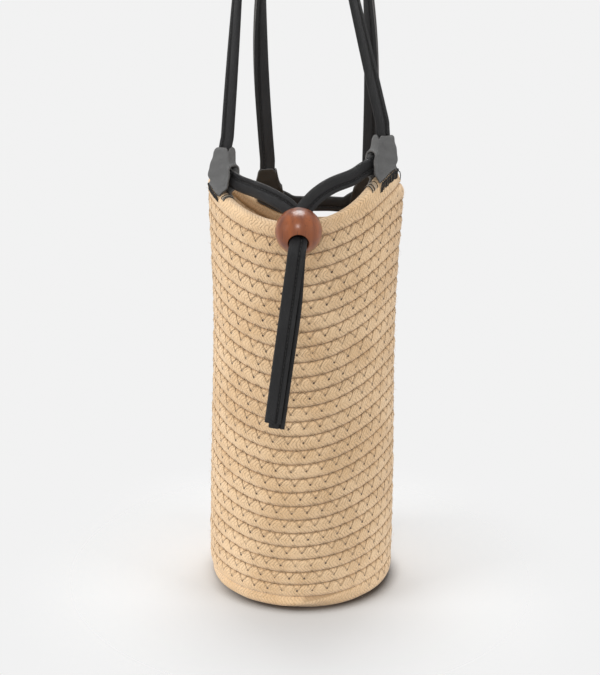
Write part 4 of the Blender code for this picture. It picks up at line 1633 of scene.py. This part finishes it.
@dataclass
class Straps:
    """The straps that run over the rim, the two handles and the hanging ends."""

    form: BagForm
    tabs: dict[str, RimTab]
    leather: LeatherWork
    strap: FoldedStrap = field(default_factory=FoldedStrap)
    bead_centre: tuple[float, float, float] = (-0.00434, -0.078449, 0.256074)
    bore_drop: float = 24.2
    bore_gap: float = 0.0001
    handle_rise: float = 0.2850
    loop_radius: float = 0.0090
    loop_spacing: float = 0.0130
    tail_lean: float = 7.0

    def bore(self) -> np.ndarray:
        """Return the direction of the bead's bore, to its front mouth."""
        drop = math.radians(self.bore_drop)
        return np.array([0.0, -math.cos(drop), -math.sin(drop)])

    def in_bore(self, level: float, reach: float) -> np.ndarray:
        """Return a knot of a strap in the bore.

        Args:
            level: 1 for the upper strap and -1 for the lower one.
            reach: how far it is from the bead's middle towards the front mouth.

        Returns:
            The knot.
        """
        bore = self.bore()
        upward = np.array([0.0, bore[2], -bore[1]])
        lift = level * upward * (self.strap.thickness / 2 + self.bore_gap)
        return knot(np.array(self.bead_centre) + lift + reach * bore, (1.0, 0.0, 0.0))

    def make(
        self, node: str, knots: Sequence[np.ndarray], bend: tuple | None, body: Body
    ) -> tuple[bpy.types.Object, bpy.types.Object, np.ndarray]:
        """Make a strap and its sewing, and attach both to one body if the strap doesn't bend; a bending strap
        is left unattached.

        Args:
            node: the CAD node that the strap stands for.
            knots: places and width directions along it.
            bend: where the bend between the bag and the other body would start and end; only whether it is
                given is used.
            body: the body that it rides on if it doesn't bend; not used if it bends.

        Returns:
            The strap, its sewing and the line that both follow.
        """
        strap, line = self.strap.band(f"{node}_leather", knots, [self.leather.strap, self.leather.edge])
        sewing = self.strap.sewing(f"{strap.name}_sewing", line, self.leather.thread)
        for piece in (strap, sewing):
            if bend is None:
                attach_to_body(piece, body.value)
            else:
                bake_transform(piece)
            report(piece)
        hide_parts(node)
        return strap, sewing, line

    def lead(self, tunnel: np.ndarray) -> np.ndarray:
        """Return a knot straight in front of a tab's mouth."""
        way = unit(tunnel[0, :3] - tunnel[1, :3])
        return knot(tunnel[0, :3] + 0.6 * self.strap.width * way, tunnel[0, 3:])

    def front_runs(self) -> None:
        """Make the front strap's two runs from the tabs to the bead."""
        # Over the rim: place in millimetres, direction of the width
        left_over = (
            (-26.8, -51.0, 274.6, 0.18, 0.15, 0.97),
            (-15.4, -59.8, 270.4, 0.50, 0.10, 0.85),
            (-8.6, -63.6, 266.0, 0.85, 0.0, 0.5),
        )
        right_over = (
            (27.4, -50.0, 284.3, 0.30, 0.0, -0.95),
            (15.6, -56.0, 280.3, 0.45, 0.0, -0.88),
            (6.6, -60.6, 275.0, 0.75, 0.0, -0.65),
            (0.0, -63.6, 268.4, 0.96, 0.0, -0.25),
        )
        bend = ((0.0, -0.0600, 0.266), (0.0, -0.0700, 0.266))
        for side, facing, over, level in (("left", -1.0, left_over, -1.0), ("right", 1.0, right_over, 1.0)):
            tunnel = self.tabs[f"tab_front_{side}"].tunnel()
            tunnel[:, 3:] *= facing
            rest = [np.array([x * MM, y * MM, z * MM, *wide]) for x, y, z, *wide in over]
            inside = [self.in_bore(level, reach) for reach in (-0.0125, -0.006, 0.0)]
            knots = [*tunnel[-2::-1], self.lead(tunnel), *rest, *inside]
            self.make(f"front_strap_{side}_run", knots, bend, Body.DRAWSTRING)

    def tails(self) -> None:
        """Make the front strap's two hanging ends, from the bead's middle to their cut ends."""
        lean = math.radians(self.tail_lean)
        wide = np.array([math.cos(lean), 0.0, -math.sin(lean)])
        down = np.array([-math.sin(lean), 0.0, -math.cos(lean)])
        centre = np.array(self.bead_centre)
        half = self.strap.thickness / 2 + self.bore_gap
        # Below the bead: how far down and how far back, up to the lowest point, which is each end's own
        fall = ((0.0095, -0.01430), (0.0140, -0.01475), (0.0220, -0.0144), (0.045, -0.0126), (0.08, -0.0098))
        for name, level, low, side in (("front_tail", 1.0, 0.1174, 0.0), ("rear_tail", -1.0, 0.1216, 0.0028)):
            knots = [self.in_bore(level, reach) for reach in (0.0, 0.006, 0.0115)]
            for reach, depth in (*fall, (low, -0.0072)):
                place = centre + reach * down + side * min(reach / 0.045, 1.0) * wide
                place[1] = centre[1] + depth - level * half
                knots.append(knot(place, wide))
            strap, sewing, line = self.make(name, knots, None, Body.DRAWSTRING)

    def back_run(self) -> None:
        """Make the back strap between its two tabs."""
        left, right = self.tabs["tab_back_left"].tunnel(), self.tabs["tab_back_right"].tunnel()
        sag = [knot(self.form.rim(angle, 0.0, 0.009), (0.0, 0.0, -1.0)) for angle in (86.0, 76.0)]
        knots = [*left[-2::-1], self.lead(left), *sag, self.lead(right), *right[:-1]]
        self.make("back_strap_run", knots, None, Body.BAG)

    def touch(self, start: np.ndarray, centre: np.ndarray, radius: float, side: float) -> np.ndarray:
        """Return where a straight line from a point touches the circle of a handle's turn.

        Args:
            start: the point.
            centre: the circle's centre.
            radius: its radius.
            side: 1 for the line that touches it on the left, and -1 for the right.

        Returns:
            The place.
        """
        way = np.array([centre[0] - start[0], centre[2] - start[2]])
        length = float(np.linalg.norm(way))
        reach = math.sqrt(length * length - radius * radius)
        turn = side * math.asin(radius / length)
        way = way / length
        across = way[0] * math.cos(turn) - way[1] * math.sin(turn)
        rise = way[0] * math.sin(turn) + way[1] * math.cos(turn)
        return np.array([start[0] + reach * across, centre[1], start[2] + reach * rise])

    def strand(self, tab: RimTab, touch: np.ndarray, facing: np.ndarray, bow: float) -> list[np.ndarray]:
        """Return a handle's knots from inside a tab up to where its turn starts.

        Args:
            tab: the tab.
            touch: the place where the turn starts.
            facing: the direction of the width there.
            bow: how far the strand bows to the right on its way.

        Returns:
            The knots, from the bottom up.
        """
        tunnel = tab.tunnel()
        turn = tunnel[-1, 3:]
        top = tab.collar()
        knots = [tunnel[-2], tunnel[-1], knot(tab.hinge(), turn), knot(top, turn)]
        for step in range(1, 15):
            share = (step / 15) ** 1.2
            swing = np.array([bow * math.sin(math.pi * min(share * 1.3, 1.0)), 0.0, 0.0])
            wide = turn + (facing - turn) * float(smooth(share / 0.8))
            knots.append(knot(top + (touch - top) * share + swing, unit(wide)))
        return knots

    def handle(
        self, end: str, centre: np.ndarray, radius: float, facing: float, bow: float, body: Body
    ) -> None:
        """Make one handle, from inside its left tab over the turn at the top into its right tab.

        Args:
            end: the side of the bag that it is on, front or back.
            centre: the middle of its turn.
            radius: the turn's radius.
            facing: the sign of the width's direction at the top.
            bow: how far each strand bows away from the other.
            body: the body that it would bend to; not used, since make leaves a bending strap unattached.
        """
        left, right = (self.tabs[f"tab_{end}_{side}"] for side in ("left", "right"))
        ahead = np.array([0.0, facing, 0.0])
        first = self.touch(left.collar(), centre, radius, 1.0)
        last = self.touch(right.collar(), centre, radius, -1.0)
        start = math.atan2(first[2] - centre[2], first[0] - centre[0]) % (2 * math.pi)
        finish = math.atan2(last[2] - centre[2], last[0] - centre[0])
        knots = self.strand(left, first, ahead, -bow)
        for turn in np.linspace(start, finish, 9):
            knots.append(knot(centre + radius * np.array([math.cos(turn), 0.0, math.sin(turn)]), ahead))
        knots += self.strand(right, last, ahead, bow)[::-1]
        axis = unit(right.hinge() - left.hinge())
        rise = np.array([0.0, 0.0, 1.0])
        rise = unit(rise - (rise @ axis) * axis)
        middle = (left.hinge() + right.hinge()) / 2
        self.make(f"{end}_handle", knots, (tuple(middle - 0.002 * rise), tuple(middle + 0.010 * rise)), body)

    def handles(self) -> None:
        """Make both handles."""
        level = self.form.top + self.handle_rise
        rim = self.form.base_radius * self.form.rim_share
        near = np.array([-0.37 * rim, -self.loop_spacing / 2, level - self.loop_radius])
        far = np.array([-0.03 * rim, self.loop_spacing / 2, level - 0.13 * self.handle_rise])
        self.handle("front", near, self.loop_radius, 1.0, 0.0, Body.FRONT_HANDLE)
        self.handle("back", far, 2.6 * self.loop_radius, -1.0, 0.0050, Body.BACK_HANDLE)

    def build(self) -> None:
        """Make all the straps."""
        self.front_runs()
        self.tails()
        self.back_run()
        self.handles()


@dataclass
class Bead:
    """The turned wooden bead that gathers the front strap."""

    centre: tuple[float, float, float]
    bore: np.ndarray
    diameter: float = 0.0280
    segments: int = 72
    rings: int = 36
    bore_rings: int = 5
    round_off: float = 0.0007

    def build(self) -> None:
        """Make the bead: a ball with both poles opened and bridged into a bore."""
        deselect()
        axis, middle, radius = Vector(self.bore), Vector(self.centre), self.diameter / 2
        turn = axis.to_track_quat("Z", "Y").to_euler()
        bpy.ops.mesh.primitive_uv_sphere_add(
            segments=self.segments, ring_count=self.rings, radius=radius, location=middle, rotation=turn
        )
        bead = bpy.context.active_object
        bead.name = bead.data.name = "turned_bead"
        bpy.ops.object.transform_apply(location=True, rotation=True, scale=True)
        with editing(bead):
            bpy.ops.mesh.select_all(action="DESELECT")
        limit = radius * math.sin(math.pi * (self.bore_rings - 0.5) / self.rings)
        for face in bead.data.polygons:
            offset = face.center - middle
            face.select = (offset - offset.dot(axis) * axis).length < limit
        with editing(bead):
            bpy.ops.mesh.select_mode(type="FACE")
            bpy.ops.mesh.delete(type="FACE")
            bpy.ops.mesh.select_mode(type="EDGE")
            bpy.ops.mesh.select_all(action="DESELECT")
            bpy.ops.mesh.select_non_manifold()
            bpy.ops.mesh.bridge_edge_loops()
        edge = bead.modifiers.new("mouth", "BEVEL")
        edge.width = self.round_off
        edge.segments = 4
        edge.limit_method = "ANGLE"
        edge.angle_limit = math.radians(35.0)
        bpy.ops.object.modifier_apply(modifier="mouth")
        with editing(bead):
            bpy.ops.mesh.select_all(action="SELECT")
            bpy.ops.mesh.normals_make_consistent(inside=False)
        bpy.ops.object.shade_smooth()
        bead.data.materials.append(VarnishedWood(shift=tuple(-value for value in self.centre)).dress())
        deselect()
        attach(bead, Body.BEAD, Slot.WOOD, "wood_bead")


# The studio


@dataclass(frozen=True)
class Studio:
    """The pale floor with its painted contact shadow, which fades out between near and far, the soft lamps
    and the camera.
    """

    background: float = 0.887
    floor_colour: Colour = (0.665, 0.67, 0.675)
    # The colour of the painted contact shadow under the bag
    painted_contact_shadow: Colour = (0.15, 0.125, 0.105)
    contact: float = 0.013
    ambient: float = 0.48
    near: float = 0.07
    far: float = 0.22
    camera_place: tuple[float, float, float] = (-0.0027, -0.7354, 0.3784)
    camera_tilt: float = 74.094
    camera_roll: float = 0.785
    lens: float = 60.36
    aim: tuple[float, float, float] = (0.0, 0.0, 0.2)

    def floor(self) -> None:
        """Make the floor, with a painted contact shadow near the bag, which fades into the background far
        from the bag.
        """
        deselect()
        bpy.ops.mesh.primitive_plane_add(size=8.0, location=(0.0, 0.0, -0.0002))
        floor = bpy.context.active_object
        floor.name = "studio_floor"
        with editing(floor):
            bpy.ops.mesh.subdivide(number_cuts=7)
        look = Look("studio_floor", 0.9, Specular_IOR_Level=0.0)
        nearby = look.add("ShaderNodeAmbientOcclusion", {"samples": 8}, {"Distance": self.contact}, "AO")
        spot = look.place()
        along, back = look.split(spot)
        # The painted contact shadow is strongest in front of the bag and a little to its right
        ahead = (along * 0.35 - back).step(-0.01, 0.055) * 0.88 + 0.12
        open_share = 1.0 - (1.0 - nearby.step(0.40, 0.95)) * ahead
        look.colour(look.mix(open_share, self.painted_contact_shadow, self.floor_colour))
        away = look.add("ShaderNodeVectorMath", {"operation": "LENGTH"}, {0: spot}, "Value")
        solid, clear = Wire(look, look.shader.outputs[0]), look.add("ShaderNodeBsdfTransparent")
        sockets = {0: away.step(self.near, self.far), 1: solid, 2: clear}
        look.feed(look.surface, look.add("ShaderNodeMixShader", None, sockets))
        floor.data.materials.append(look.material)
        deselect()

    def world(self) -> None:
        """Set the surrounding light and the plain background."""
        world = bpy.data.worlds.new("studio")
        bpy.context.scene.world = world
        world.use_nodes = True
        nodes, links = world.node_tree.nodes, world.node_tree.links
        nodes.clear()
        kinds = ("OutputWorld", "MixShader", "LightPath")
        output, mix, path = (nodes.new(f"ShaderNode{kind}") for kind in kinds)
        links.new(path.outputs["Is Camera Ray"], mix.inputs[0])
        seen = (self.background, self.background, self.background, 1.0)
        for socket, colour, strength in ((1, (1.0, 0.995, 0.985, 1.0), self.ambient), (2, seen, 1.0)):
            light = nodes.new("ShaderNodeBackground")
            light.inputs["Color"].default_value = colour
            light.inputs["Strength"].default_value = strength
            links.new(light.outputs[0], mix.inputs[socket])
        links.new(mix.outputs[0], output.inputs["Surface"])

    def lamp(self, name: str, place: Sequence[float], size: float, power: float, shines: bool = True) -> None:
        """Hang a square soft lamp that faces the bag.

        Args:
            name: the lamp's name.
            place: where it hangs.
            size: the length of its sides.
            power: its power in watts.
            shines: whether glossy surfaces mirror it.
        """
        data = bpy.data.lights.new(name, "AREA")
        data.energy = power
        data.size = size
        lamp = add_object(name, data)
        spot = Vector(place)
        facing = (Vector(self.aim) - spot).to_track_quat("-Z", "Y").to_matrix().to_4x4()
        lamp.matrix_world = Matrix.Translation(spot) @ facing
        lamp.visible_glossy = shines

    def camera(self) -> None:
        """Set the camera at the photograph's angle."""
        data = bpy.data.cameras.new("photo_camera")
        data.lens = self.lens
        data.sensor_width = 36.0
        camera = add_object("photo_camera", data)
        tilt = Matrix.Rotation(math.radians(self.camera_tilt), 4, "X")
        roll = Matrix.Rotation(math.radians(self.camera_roll), 4, "Z")
        camera.matrix_world = Matrix.Translation(Vector(self.camera_place)) @ tilt @ roll
        bpy.context.scene.camera = camera

    def build(self) -> None:
        """Set up the studio."""
        self.camera()
        self.floor()
        self.world()
        self.lamp("left", (-2.60, -0.90, 1.00), 1.3, 65.0, shines=False)
        self.lamp("right", (2.60, -0.95, 0.95), 1.3, 42.0, shines=False)
        self.lamp("above", (0.00, 0.90, 2.60), 1.4, 46.0)
        self.lamp("front", (-0.12, -1.30, 1.10), 0.25, 2.5)
        bpy.context.scene.view_settings.view_transform = "Standard"


def main() -> None:
    """Build the bag's pieces in order and the studio round them."""
    logging.basicConfig(level=logging.INFO, format="%(message)s")
    Studio().build()
    form = BagForm()
    rope = CoiledRope(form)
    leather = LeatherWork.dressed()
    Bucket(rope).build()
    straps = Straps(form, RimTabs(form, rope, leather).build(), leather)
    straps.build()
    Bead(straps.bead_centre, straps.bore()).build()


if __name__ == "__main__":
    main()
